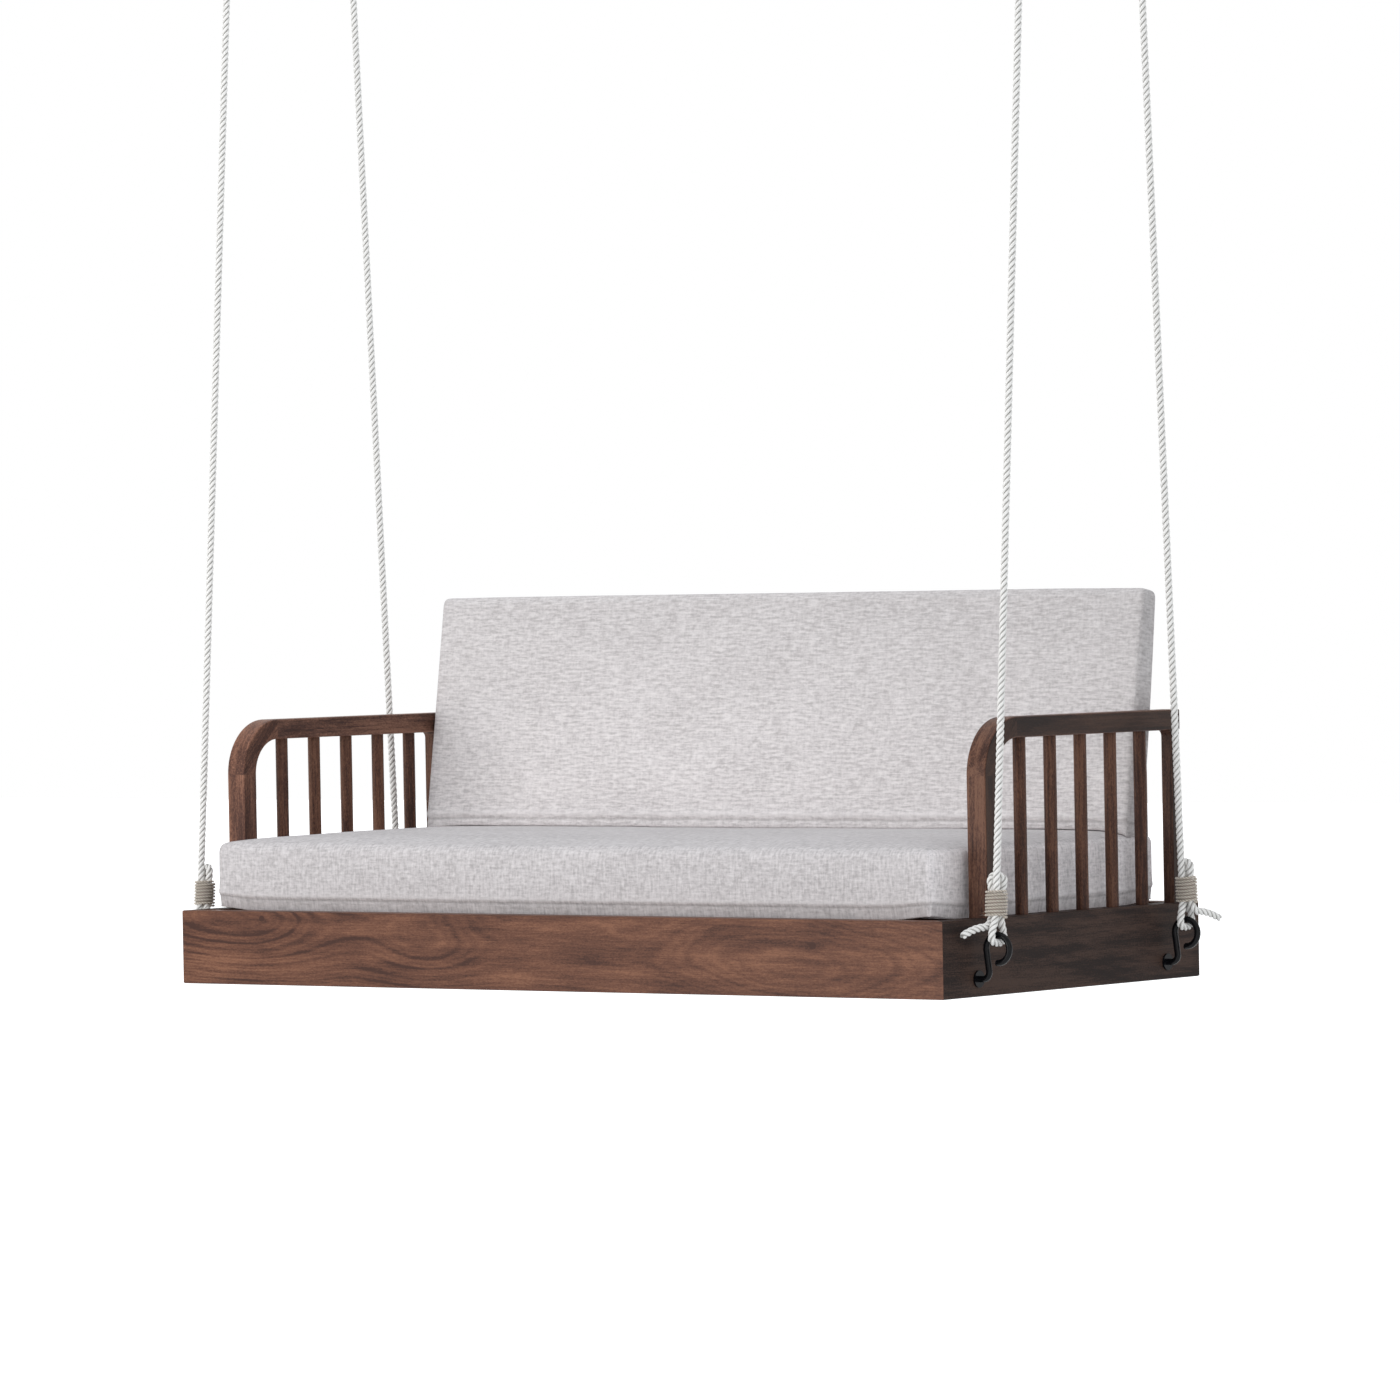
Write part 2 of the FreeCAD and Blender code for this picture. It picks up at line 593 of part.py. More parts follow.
def tenon_block(name, x, z):
    """A tenon of a back post."""
    return box(name, BACK_TENON, "sizes.tenon_thickness", "sizes.tenon_depth", x,
               f"{FRAME_REAR} - (sizes.rail_thickness + sizes.tenon_thickness) / 2", z)


def back_post(label, x):
    """Post between the rear rail and the back rail."""
    post = box(f"{label}_post", "sizes.back_post_width", "sizes.back_post_depth", BACK_UNDERSIDE, x, BACK_Y,
               FRAME_TOP)
    tenon = tenon_block(f"{label}_tenon", f"{x} + sizes.tenon_shoulder", f"{FRAME_TOP} - sizes.tenon_depth")
    keep(joined(f"{label}_whole", [post, tenon]), label)


back_post("back_post_left", BACK_LEFT)
back_post("back_post_right", f"({BACK_LEFT} + {BACK_SPAN} - sizes.back_post_width)")

BACK_SPINDLE_Y = f"{FRAME_REAR} - sizes.rail_thickness / 2"
back_rods = []
back_sockets = []
for number in range(int(size("back_spindle_count"))):
    x = f"{BACK_LEFT} + sizes.back_post_width + {number + 1} * {BACK_PITCH}"
    back_rods.append(rod("back_spindle", "sizes.spindle_radius",
                         f"{BACK_UNDERSIDE} + 2 * sizes.socket_depth",
                         x, BACK_SPINDLE_Y, f"{FRAME_TOP} - sizes.socket_depth"))
    back_sockets.append(rod("back_socket", f"sizes.spindle_radius + {CLEAR}",
                            f"sizes.socket_depth + {CLEAR} + sizes.cut_overrun", x, BACK_SPINDLE_Y,
                            f"{FRAME_TOP} + {BACK_UNDERSIDE} - sizes.cut_overrun"))
back_bar = box("back_rail_bar", BACK_SPAN, "sizes.rail_thickness", "sizes.back_rail_height",
               BACK_LEFT, f"{FRAME_REAR} - sizes.rail_thickness", f"{FRAME_TOP} + {BACK_UNDERSIDE}")
keep(cut("back_rail_drilled", back_bar, group("back_socket_set", back_sockets)), "back_rail")
keep(group("back_spindle_set", back_rods), "back_spindles")

# Cushions: lofts through sections across the seat, crowned and a little fuller in the middle

# Share of the length, then shares of the crown and of the draw at that station
STATION_SHARES = ((0, 0.35, 0), (0.12, 0.8, 0.7), (0.5, 1, 1), (0.88, 0.8, 0.7), (1, 0.35, 0))


def bowed_edge(start, stop, bow):
    """A line, or a shallow arc whose middle stands off by the bow to the right of its run."""
    if near(bow, 0):
        return Part.LineSegment(start, stop).toShape()
    run = stop - start
    aside = Vector(0, run.z, -run.y) * (bow / run.Length)
    return Part.Arc(start, (start + stop) * 0.5 + aside, stop).toShape()


def cushion(length, depth, height, bows, draw):
    """A closed cushion from X = 0, whose four long faces bow out by under, rear, top and front bows."""
    sections = []
    for place, crown_share, draw_share in STATION_SHARES:
        inset = draw * draw_share
        x = length * place
        corners = [Vector(x, inset, 0), Vector(x, depth - inset, 0), Vector(x, depth - inset, height),
                   Vector(x, inset, height)]
        edges = [bowed_edge(corners[side], corners[(side + 1) % 4], bows[side] * crown_share)
                 for side in range(4)]
        sections.append(Part.Wire(edges))
    return Part.makeLoft(sections, True, False)


def soft_piece(label, shape, placement):
    """A cushion as a piece of its own."""
    item = doc.addObject("Part::Feature", f"{label}_form")
    item.Shape = shape
    item.Placement = placement
    return keep(item, label)


seat_length = size("frame_length") - 2 * size("seat_cushion_inset")
seat_depth = size("frame_depth") - size("seat_cushion_front") - size("seat_cushion_rear")
seat_edge = size("seat_cushion_edge")
seat_crown = size("seat_cushion_crown")
seat_bows = (0, size("cushion_bulge"), seat_crown, size("cushion_bulge"))
seat_front = value_of(FRAME_FRONT) + size("seat_cushion_front")
seat_base = value_of(SLAT_TOP) + size("soft_clearance")
soft_piece("seat_cushion", cushion(seat_length, seat_depth, seat_edge, seat_bows, size("cushion_draw")),
           Placement(Vector(-seat_length / 2, seat_front, seat_base), Rotation()))


def seat_top(y):
    """Height of the crowned top of the seat cushion at its middle, for a place in Y."""
    radius = (seat_depth ** 2 / 4 + seat_crown ** 2) / (2 * seat_crown)
    aside = y - seat_front - seat_depth / 2
    return seat_base + seat_edge + seat_crown - radius + math.sqrt(radius ** 2 - aside ** 2)


# The back cushion stands on the seat cushion and leans on the upper front edge of the back rail
lean = math.radians(size("back_cushion_lean_deg"))
back_edge = size("back_cushion_edge")
back_crown = size("back_cushion_crown")
back_full = back_edge + back_crown
rest_y = value_of(FRAME_REAR) - size("rail_thickness") - size("soft_clearance")
rest_z = value_of(FRAME_TOP) + size("arm_height")
toe_y = rest_y - (back_full / 2 + (rest_z - seat_top(rest_y)) * math.sin(lean)) / math.cos(lean)
back_z = seat_top(toe_y) + size("soft_clearance") + back_crown + back_edge / 2 * math.sin(lean)
along_back = (rest_z - back_z + back_full * math.sin(lean)) / math.cos(lean)
back_y = rest_y - back_full * math.cos(lean) - along_back * math.sin(lean)
back_bows = (back_crown, back_crown, back_crown, back_crown)
soft_piece("back_cushion", cushion(seat_length, back_edge, size("back_cushion_height"), back_bows, 0),
           Placement(Vector(-seat_length / 2, back_y, back_z),
                     Rotation(Vector(1, 0, 0), -size("back_cushion_lean_deg"))))

# Hooks: a straight threaded shank, a bend, a leaning leg and an open ring

LEAN = "sizes.hook_leg_lean_deg"
RING = "sizes.hook_ring_radius"
BEND = "sizes.hook_bend_radius"
LEG = f"((sizes.hook_rise - {BEND} - ({RING} + {BEND}) * sin({LEAN})) / cos({LEAN}))"
BEND_START = f"(sizes.hook_reach - ({RING} + {BEND}) * cos({LEAN}) + {LEG} * sin({LEAN}))"
SHANK = "(sizes.rail_thickness + sizes.nut_height + sizes.hook_spare)"


def hook(label, x, y, turn):
    """A wire hook through a side rail, with its ring in the plane of its shank."""
    body = new_body(label)
    spine = new_sketch(body, f"{label}_line", "XZ_Plane")
    bend_centre = (BEND_START, BEND)
    ring_centre = ("sizes.hook_reach", "sizes.hook_rise")
    bend_end = (f"{BEND_START} + {BEND} * cos({LEAN})", f"{BEND} + {BEND} * sin({LEAN})")
    ring_start = (f"sizes.hook_reach - {RING} * cos({LEAN})", f"sizes.hook_rise - {RING} * sin({LEAN})")
    tip_drop = f"sqrt({RING} ^ 2 - sizes.hook_tip_inset ^ 2)"
    tip = ("sizes.hook_reach - sizes.hook_tip_inset", f"sizes.hook_rise - {tip_drop}")
    corners = [(f"-{SHANK}", "0"), (BEND_START, "0"), bend_end, ring_start, tip]
    draw_path(spine, corners, {1: (bend_centre, BEND, True), 3: (ring_centre, RING, False)}, closed=False)
    section = new_sketch(body, f"{label}_section", "YZ_Plane", f"-{SHANK}")
    draw_circle(section, "sizes.hook_wire / 2", "0", "0")
    doc.recompute()
    pipe = body.newObject("PartDesign::AdditivePipe", f"{label}_wire")
    pipe.Profile = section
    pipe.Spine = spine
    doc.recompute()
    tip_place = Vector(value_of(tip[0]), 0, value_of(tip[1]))
    wire = size("hook_wire")
    soften(body, pipe, f"{label}_tip", "PartDesign::Fillet", "Radius", "sizes.hook_tip_round",
           lambda edge, middle: isinstance(edge.Curve, Part.Circle)
           and edge.Curve.Center.distanceToPoint(tip_place) < wire / 2)
    body.Placement = Placement(Vector(), Rotation(Vector(0, 0, 1), turn))
    put(body, x, y, HOOK_AXIS)
    keep(body, label)


hook("front_left_hook", FRAME_LEFT, FRONT_HOOK_Y, 180)
hook("front_right_hook", FRAME_RIGHT, FRONT_HOOK_Y, 0)
hook("rear_left_hook", FRAME_LEFT, REAR_HOOK_Y, 180)
hook("rear_right_hook", FRAME_RIGHT, REAR_HOOK_Y, 0)

ACROSS = Vector(0, 1, 0)
flanges = []
nuts = []
for y in (FRONT_HOOK_Y, REAR_HOOK_Y):
    for flange_x, nut_x in ((f"{FRAME_LEFT} - sizes.flange_thickness", INNER_LEFT),
                            (FRAME_RIGHT, f"{INNER_RIGHT} - sizes.nut_height")):
        disc = rod("flange_disc", "sizes.flange_radius", "sizes.flange_thickness", flange_x, y, HOOK_AXIS,
                   ACROSS, 90)
        bore = rod("flange_bore", "sizes.hook_wire / 2 + sizes.pin_clearance",
                   "sizes.flange_thickness + 2 * sizes.cut_overrun", f"{flange_x} - sizes.cut_overrun", y,
                   HOOK_AXIS, ACROSS, 90)
        flanges.append(cut("flange", disc, bore))
        prism = doc.addObject("Part::Prism", "nut_prism")
        prism.Polygon = 6
        prism.Placement = Placement(Vector(), Rotation(ACROSS, 90))
        bind(prism, {"Circumradius": "sizes.nut_across / 2 / cos(30)", "Height": "sizes.nut_height"})
        put(prism, nut_x, y, HOOK_AXIS)
        thread = rod("nut_bore", "sizes.hook_wire / 2 + sizes.pin_clearance",
                     "sizes.nut_height + 2 * sizes.cut_overrun", f"{nut_x} - sizes.cut_overrun", y,
                     HOOK_AXIS, ACROSS, 90)
        nuts.append(cut("nut", prism, thread))
keep(group("flange_set", flanges), "hook_flanges")
keep(group("nut_set", nuts), "hook_nuts")

# Ceiling eyes: a ring of the hooks' wire welded under a square plate with four screw holes


def ceiling_eye(label, x, y):
    """A plate against the ceiling with a ring below it."""
    plate = box(f"{label}_plate", "sizes.plate_side", "sizes.plate_side", "sizes.plate_thickness",
                f"{x} - sizes.plate_side / 2", f"{y} - sizes.plate_side / 2", PLATE_BOTTOM)
    ring = doc.addObject("Part::Torus", f"{label}_ring")
    ring.Placement = Placement(Vector(), Rotation(Vector(1, 0, 0), 90))
    bind(ring, {"Radius1": "sizes.hook_ring_radius", "Radius2": "sizes.hook_wire / 2"})
    put(ring, x, y, EYE_CENTRE)
    holes = []
    for side in ("-", "+"):
        for way in ("-", "+"):
            holes.append(rod(f"{label}_hole", "sizes.plate_hole_radius",
                             "sizes.plate_thickness + 2 * sizes.cut_overrun",
                             f"{x} {side} sizes.plate_hole_spacing / 2",
                             f"{y} {way} sizes.plate_hole_spacing / 2",
                             f"{PLATE_BOTTOM} - sizes.cut_overrun"))
    drilled = cut(f"{label}_drilled", plate, group(f"{label}_holes", holes))
    keep(joined(f"{label}_welded", [drilled, ring]), label)


FRONT_EYE_Y = "(-sizes.eye_spread / 2)"
REAR_EYE_Y = "(sizes.eye_spread / 2)"
for end, y in (("front", FRONT_EYE_Y), ("rear", REAR_EYE_Y)):
    for side, x in (("left", f"(-{ROPE_X})"), ("right", ROPE_X)):
        ceiling_eye(f"{end}_{side}_ceiling_eye", x, y)

# Ropes. A rope's own frame has its zero on the hook's wire, where the rope goes round it, and its
# third axis towards the ceiling eye. Both ends have the same knot: the end of the rope is folded into
# three legs, lashed with twine, and its tail sticks out. A point is (across, along, up, bend radius),
# and a bend without a radius is as large as its runs allow.

TAIL_ROUTE = ((-26, 58, -4, None), (-19, 32, 10, None), (-10.9, 0, 12, 12))
KNOT_ROUTE = (
    (-10.9, 0, 66.5, None), (-14.1, -1.85, 75.5, None), (-14.1, -1.85, 90, 10), (3.2, 8.15, 90, 10),
    (3.2, 8.15, 75.5, None), (0, 6.3, 66.5, None), (0, 6.3, 24, 18), (0, 15.8, 3, 13.5),
    (0, 15.8, -11.6, 11.3), (0, -15.8, -11.6, 11.3), (0, -15.8, 3, 13.5), (0, -6.3, 24, 18),
)
RUN_SHARE = 0.45


def knot_points(tail_side, tail_way):
    """Points and bend radii of the lower knot, from the tail's tip to the foot of the long run."""
    tail = [(Vector(x * tail_side, y * tail_way, z), bend) for x, y, z, bend in TAIL_ROUTE]
    return tail + [(Vector(x * tail_side, y, z), bend) for x, y, z, bend in KNOT_ROUTE]


def tube_along(route, diameter):
    """A round tube along straight runs joined by tangent arcs. Returns it, its length and its radii."""
    edges = []
    radii = []
    point = route[0][0]
    for before, (corner, bend), after in zip(route, route[1:], route[2:]):
        back = before[0] - corner
        ahead = after[0] - corner
        half_turn = (math.pi - back.getAngle(ahead)) / 2
        reach = bend * math.tan(half_turn) if bend else RUN_SHARE * min(back.Length, ahead.Length)
        radius = reach / math.tan(half_turn)
        start = corner + back.normalize() * reach
        stop = corner + ahead.normalize() * reach
        bisector = (start + stop) * 0.5 - corner
        middle = corner + bisector.normalize() * (radius / math.cos(half_turn) - radius)
        edges.append(Part.LineSegment(point, start).toShape())
        edges.append(Part.Arc(start, middle, stop).toShape())
        radii.append(radius)
        point = stop
    edges.append(Part.LineSegment(point, route[-1][0]).toShape())
    path = Part.Wire(edges)
    heading = route[1][0] - route[0][0]
    ring = Part.Wire(Part.Circle(route[0][0], heading, diameter / 2).toShape())
    return path.makePipeShell([ring], True, False), path.Length, radii


def biarc(start, start_way, stop, stop_way):
    """Two tangent arcs between two points with given directions."""
    gap = stop - start
    both = start_way + stop_way
    spread = 2 * (1 - start_way.dot(stop_way))
    reach = (math.sqrt(gap.dot(both) ** 2 + spread * gap.dot(gap)) - gap.dot(both)) / spread
    first_corner = start + start_way * reach
    last_corner = stop - stop_way * reach
    joint = (first_corner + last_corner) * 0.5
    arcs = []
    for near_end, corner, far_end in ((start, first_corner, joint), (joint, last_corner, stop)):
        half_turn = (math.pi - (near_end - corner).getAngle(far_end - corner)) / 2
        radius = reach / math.tan(half_turn)
        bisector = (near_end + far_end) * 0.5 - corner
        middle = corner + bisector.normalize() * (radius / math.cos(half_turn) - radius)
        arcs.append(Part.Arc(near_end, middle, far_end).toShape())
    return arcs


def coil(radius, pitch, turns, lead, diameter):
    """A wound tube about +Z with straight ends. Returns it and the least gap between its turns."""
    rise = pitch / (2 * math.pi)
    quarters = round(4 * turns)

    def place(angle):
        """Point of the winding's centre line."""
        return Vector(radius * math.cos(angle), radius * math.sin(angle), rise * angle)

    def way(angle):
        """Direction of the winding's centre line."""
        return Vector(-radius * math.sin(angle), radius * math.cos(angle), rise).normalize()

    angles = [quarter * math.pi / 2 for quarter in range(quarters + 1)]
    edges = [Part.LineSegment(place(0) - way(0) * lead, place(0)).toShape()]
    for low, high in zip(angles, angles[1:]):
        edges.extend(biarc(place(low), way(low), place(high), way(high)))
    edges.append(Part.LineSegment(place(angles[-1]), place(angles[-1]) + way(angles[-1]) * lead).toShape())
    path = Part.Wire(edges)
    ring = Part.Wire(Part.Circle(place(0) - way(0) * lead, way(0), diameter / 2).toShape())
    samples = path.discretize(Distance=diameter / 2)
    turn_samples = round(2 * math.pi * radius / (diameter / 2) / 2)
    gap = min(samples[low].distanceToPoint(samples[high]) for low in range(len(samples))
              for high in range(low + turn_samples, len(samples))) - diameter
    return path.makePipeShell([ring], True, False), gap


rope = size("rope_diameter")
twine = size("twine_diameter")
leg_spacing = rope + 2 * size("soft_clearance")
pack_radius = leg_spacing / math.sqrt(3)
twine_radius = pack_radius + rope / 2 + size("soft_clearance") + twine / 2
lashing, twine_gap = coil(twine_radius, size("twine_pitch"), size("twine_turns"), size("twine_lead"), twine)
print("twine: least gap between turns", round(twine_gap, 3))

hang_points = {"front": (FRONT_HOOK_Y, FRONT_EYE_Y), "rear": (REAR_HOOK_Y, REAR_EYE_Y)}
lashings = {"front_lower": [], "front_upper": [], "rear_lower": [], "rear_upper": []}
for end, (hook_y, eye_y) in hang_points.items():
    foot = Vector(0, value_of(hook_y), value_of(LOWER_AXIS))
    head = Vector(0, value_of(eye_y), value_of(UPPER_AXIS))
    reach = (head - foot).Length
    slant = Rotation(Vector(0, 0, 1), head - foot)
    for side, way in (("left", -1), ("right", 1)):
        # The tail lies on the rail's side at the front and away from it at the rear
        tail_side = way if end == "front" else -way
        tail_way = -1 if end == "front" else 1
        lower = knot_points(tail_side, tail_way)
        upper = [(Vector(point.x, point.y, reach - point.z), bend) for point, bend in reversed(lower)]
        shape, length, radii = tube_along(lower + upper, rope)
        print(f"{end} {side} rope: length {length:.1f}, volume over section times length",
              round(shape.Volume / (math.pi * rope ** 2 / 4 * length), 5), "radii",
              [round(radius, 1) for radius in radii])
        place = Placement(Vector(way * value_of(ROPE_X), foot.y, foot.z), slant)
        item = doc.addObject("Part::Feature", f"{end}_{side}_rope_line")
        item.Shape = shape
        item.Placement = place
        keep(item, f"{end}_{side}_rope")
        pack_x = -tail_side * pack_radius / 2
        start = size("twine_start")
        for level in ("lower", "upper"):
            wound = doc.addObject("Part::Feature", f"{end}_{side}_{level}_twine")
            wound.Shape = lashing
            if level == "lower":
                local = Placement(Vector(pack_x, 0, start), Rotation())
            else:
                local = Placement(Vector(pack_x, 0, reach - start), Rotation(Vector(1, 0, 0), 180))
            wound.Placement = place.multiply(local)
            lashings[f"{end}_{level}"].append(wound)
for name, pair in lashings.items():
    keep(group(f"{name}_twine_pair", pair), f"{name}_lashings")

# Check and export

doc.recompute()
faults = [item.Name for item in doc.Objects if {"Invalid", "Error"} & set(item.State)]
if faults:
    raise RuntimeError(f"objects not up to date: {faults}")
for item in nodes:
    if item.Shape.isNull() or not item.Shape.isValid():
        raise RuntimeError(f"{item.Label} has no valid shape")
    item.Shape.exportStep(f"parts/{item.Label}.step")
print(f"{len(nodes)} pieces exported")
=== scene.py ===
"""Looks of a hanging wooden swing seat: slatted box frame, spindle arms, two cushions and four ropes.

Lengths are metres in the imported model's frame: the origin lies on the ceiling in the middle of the
four ceiling eyes, +Z is up, X runs along the seat and the seat faces -Y.
"""

import logging
import math
from dataclasses import dataclass, field
from enum import Enum

import bpy
import numpy as np
from mathutils import Matrix, Vector


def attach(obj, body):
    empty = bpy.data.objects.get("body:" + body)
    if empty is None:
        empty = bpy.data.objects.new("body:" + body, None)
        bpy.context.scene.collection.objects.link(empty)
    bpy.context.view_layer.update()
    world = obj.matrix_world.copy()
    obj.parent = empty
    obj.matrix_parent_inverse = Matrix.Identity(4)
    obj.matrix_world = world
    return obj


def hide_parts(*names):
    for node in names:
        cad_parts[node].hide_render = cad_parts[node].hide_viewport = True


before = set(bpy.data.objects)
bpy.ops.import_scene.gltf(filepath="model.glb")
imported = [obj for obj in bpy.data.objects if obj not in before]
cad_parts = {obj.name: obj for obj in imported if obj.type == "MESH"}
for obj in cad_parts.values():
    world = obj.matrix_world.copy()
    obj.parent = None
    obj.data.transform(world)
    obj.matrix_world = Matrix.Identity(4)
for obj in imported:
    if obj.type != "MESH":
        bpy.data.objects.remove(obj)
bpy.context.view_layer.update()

log = logging.getLogger("swing")
Tree, Node, Socket = bpy.types.NodeTree, bpy.types.Node, bpy.types.NodeSocket
Material = bpy.types.Material
Array = np.ndarray
Arrays = tuple[Array, Array, Array]
Colour = tuple[float, float, float]
Triple = tuple[float, float, float]
TURN = 2 * math.pi  # a full turn in radians
TINY = 1e-6  # a length that counts as none
ARM_MIDDLE = 0.7325  # X of the middle of an arm's thickness, on either side


# Materials


class Value:
    """A number carried by a socket of a node tree, with arithmetic that adds Math nodes."""

    def __init__(self, tree: Tree, socket: Socket) -> None:
        """Wrap a socket of a tree."""
        self.tree = tree
        self.socket = socket

    def math(self, operation: str, *operands: "Value | float") -> "Value":
        """A Math node on the operands.

        Args:
            operation: name of the node's operation.
            operands: its inputs in order.

        Returns:
            The node's result.
        """
        settings, sockets = {"operation": operation}, dict(enumerate(operands))
        return Value(self.tree, add_node(self.tree, "ShaderNodeMath", settings, sockets).outputs[0])

    def __add__(self, other: "Value | float") -> "Value":
        """Sum."""
        return self.math("ADD", self, other)

    __radd__ = __add__

    def __sub__(self, other: "Value | float") -> "Value":
        """Difference."""
        return self.math("SUBTRACT", self, other)

    def __rsub__(self, other: float) -> "Value":
        """Difference from a number."""
        return self.math("SUBTRACT", other, self)

    def __mul__(self, other: "Value | float") -> "Value":
        """Product."""
        return self.math("MULTIPLY", self, other)

    __rmul__ = __mul__

    def __truediv__(self, other: "Value | float") -> "Value":
        """Quotient."""
        return self.math("DIVIDE", self, other)

    def __pow__(self, power: float) -> "Value":
        """Power."""
        return self.math("POWER", self, power)

    def sine(self) -> "Value":
        """Sine of the value in radians."""
        return self.math("SINE", self)

    def exponential(self) -> "Value":
        """The number e to the power of the value."""
        return self.math("EXPONENT", self)

    def size(self) -> "Value":
        """The value without its sign."""
        return self.math("ABSOLUTE", self)

    def most(self, other: "Value | float") -> "Value":
        """The larger of two values."""
        return self.math("MAXIMUM", self, other)


Operand = Value | Socket | float | tuple


def plug(tree: Tree, slot: Socket, item: Operand) -> None:
    """Link a socket or set its own value.

    Args:
        tree: node tree of the socket.
        slot: input to feed.
        item: a value, a socket, a number, a vector or a colour.
    """
    if isinstance(item, Value):
        tree.links.new(item.socket, slot)
    elif isinstance(item, Socket):
        tree.links.new(item, slot)
    elif slot.type == "RGBA":
        slot.default_value = (*item, 1.0)
    else:
        slot.default_value = item


def add_node(tree: Tree, kind: str, settings: dict | None = None,
             sockets: dict | None = None) -> Node:
    """A node with its settings first and then its sockets.

    Args:
        tree: node tree that gets the node.
        kind: type of the node.
        settings: attributes of the node.
        sockets: values or links by input name or number.

    Returns:
        The new node.
    """
    made = tree.nodes.new(kind)
    for key, value in (settings or {}).items():
        setattr(made, key, value)
    for key, item in (sockets or {}).items():
        plug(tree, made.inputs[key], item)
    return made


class Paint:
    """A material under construction around one Principled shader."""

    def __init__(self, name: str) -> None:
        """Start an empty material with a shader and an output."""
        self.material = bpy.data.materials.new(name)
        self.material.use_nodes = True
        self.tree = self.material.node_tree
        self.tree.nodes.clear()
        self.shader = self.node("ShaderNodeBsdfPrincipled")
        self.node("ShaderNodeOutputMaterial", {}, {0: self.shader.outputs[0]})

    def node(self, kind: str, settings: dict | None = None,
             sockets: dict | None = None) -> Node:
        """A node of this material, by its type, its settings and its sockets."""
        return add_node(self.tree, kind, settings, sockets)

    def place(self, turn: Triple = (0, 0, 0)) -> Socket:
        """Object coordinates, turned by Euler angles in degrees."""
        source = self.node("ShaderNodeTexCoord").outputs["Object"]
        angles = tuple(math.radians(angle) for angle in turn)
        return self.node("ShaderNodeMapping", {}, {"Vector": source, "Rotation": angles}).outputs[0]

    def cloth_place(self) -> Socket:
        """The piece's own UV map, in metres along and across the cloth or the strand."""
        return self.node("ShaderNodeUVMap", {"uv_map": "cloth"}).outputs[0]

    def scaled(self, vector: Socket, scale: Triple,
               shift: Triple = (0, 0, 0)) -> Socket:
        """A vector multiplied axis by axis and shifted."""
        return self.node("ShaderNodeMapping", {}, {"Vector": vector, "Scale": scale,
                                                    "Location": shift}).outputs[0]

    def parts(self, vector: Socket) -> tuple[Value, Value, Value]:
        """The three components of a vector."""
        made = self.node("ShaderNodeSeparateXYZ", {}, {0: vector})
        return tuple(Value(self.tree, socket) for socket in made.outputs)

    def noise(self, vector: Socket, scale: Triple, detail: float = 2.0,
              shift: Triple = (0, 0, 0), rough: float = 0.5) -> Value:
        """Noise from 0 to 1 on a scaled vector.

        Args:
            vector: coordinates in metres.
            scale: features per metre along each axis.
            detail: octaves.
            shift: offset that makes the pattern another one.
            rough: weight of the finer octaves.

        Returns:
            The noise's value.
        """
        made = self.node("ShaderNodeTexNoise", {}, {
            "Vector": self.scaled(vector, scale, shift), "Scale": 1.0, "Detail": detail,
            "Roughness": rough})
        return Value(self.tree, made.outputs[0])

    def step(self, value: Value, low: float, high: float) -> Value:
        """A smooth step from 0 at one value to 1 at another, which may be the lower one."""
        made = self.node("ShaderNodeMapRange", {"interpolation_type": "SMOOTHSTEP"},
                         {"Value": value, "From Min": low, "From Max": high})
        return Value(self.tree, made.outputs[0])

    def ramp(self, value: Value, stops: tuple[tuple[float, Colour], ...]) -> Socket:
        """A colour from a value through a ramp.

        Args:
            value: where to read the ramp.
            stops: places and colours in rising order.

        Returns:
            The colour.
        """
        made = self.node("ShaderNodeValToRGB", {}, {0: value})
        elements = made.color_ramp.elements
        for number, (spot, colour) in enumerate(stops):
            element = elements[number] if number < 2 else elements.new(spot)
            element.position = spot
            element.color = (*colour, 1.0)
        return made.outputs[0]

    def blend(self, factor: Value | float, first: Operand, second: Operand,
              mode: str = "MIX") -> Socket:
        """Two colours mixed by a factor in a blending mode."""
        made = self.node("ShaderNodeMix", {"data_type": "RGBA", "blend_type": mode},
                         {0: factor, 6: first, 7: second})
        return made.outputs[2]

    def bump(self, height: Value, strength: float, depth: float) -> Socket:
        """A normal from a height in steps of a depth in metres."""
        return self.node("ShaderNodeBump", {}, {"Height": height, "Strength": strength,
                                                 "Distance": depth}).outputs[0]

    def finish(self, **sockets: Operand) -> Material:
        """Feed the shader's sockets, named with underscores for spaces, and hand the material over."""
        for key, item in sockets.items():
            plug(self.tree, self.shader.inputs[key.replace("_", " ")], item)
        return self.material


class Grain(Enum):
    """Turn in degrees that brings a board's grain to the pattern's first axis."""

    LENGTHWISE = (0.0, 0.0, 0.0)
    ACROSS = (0.0, 0.0, -90.0)
    UPRIGHT = (0.0, 90.0, 0.0)
    SLANTED = (-45.0, 0.0, -90.0)


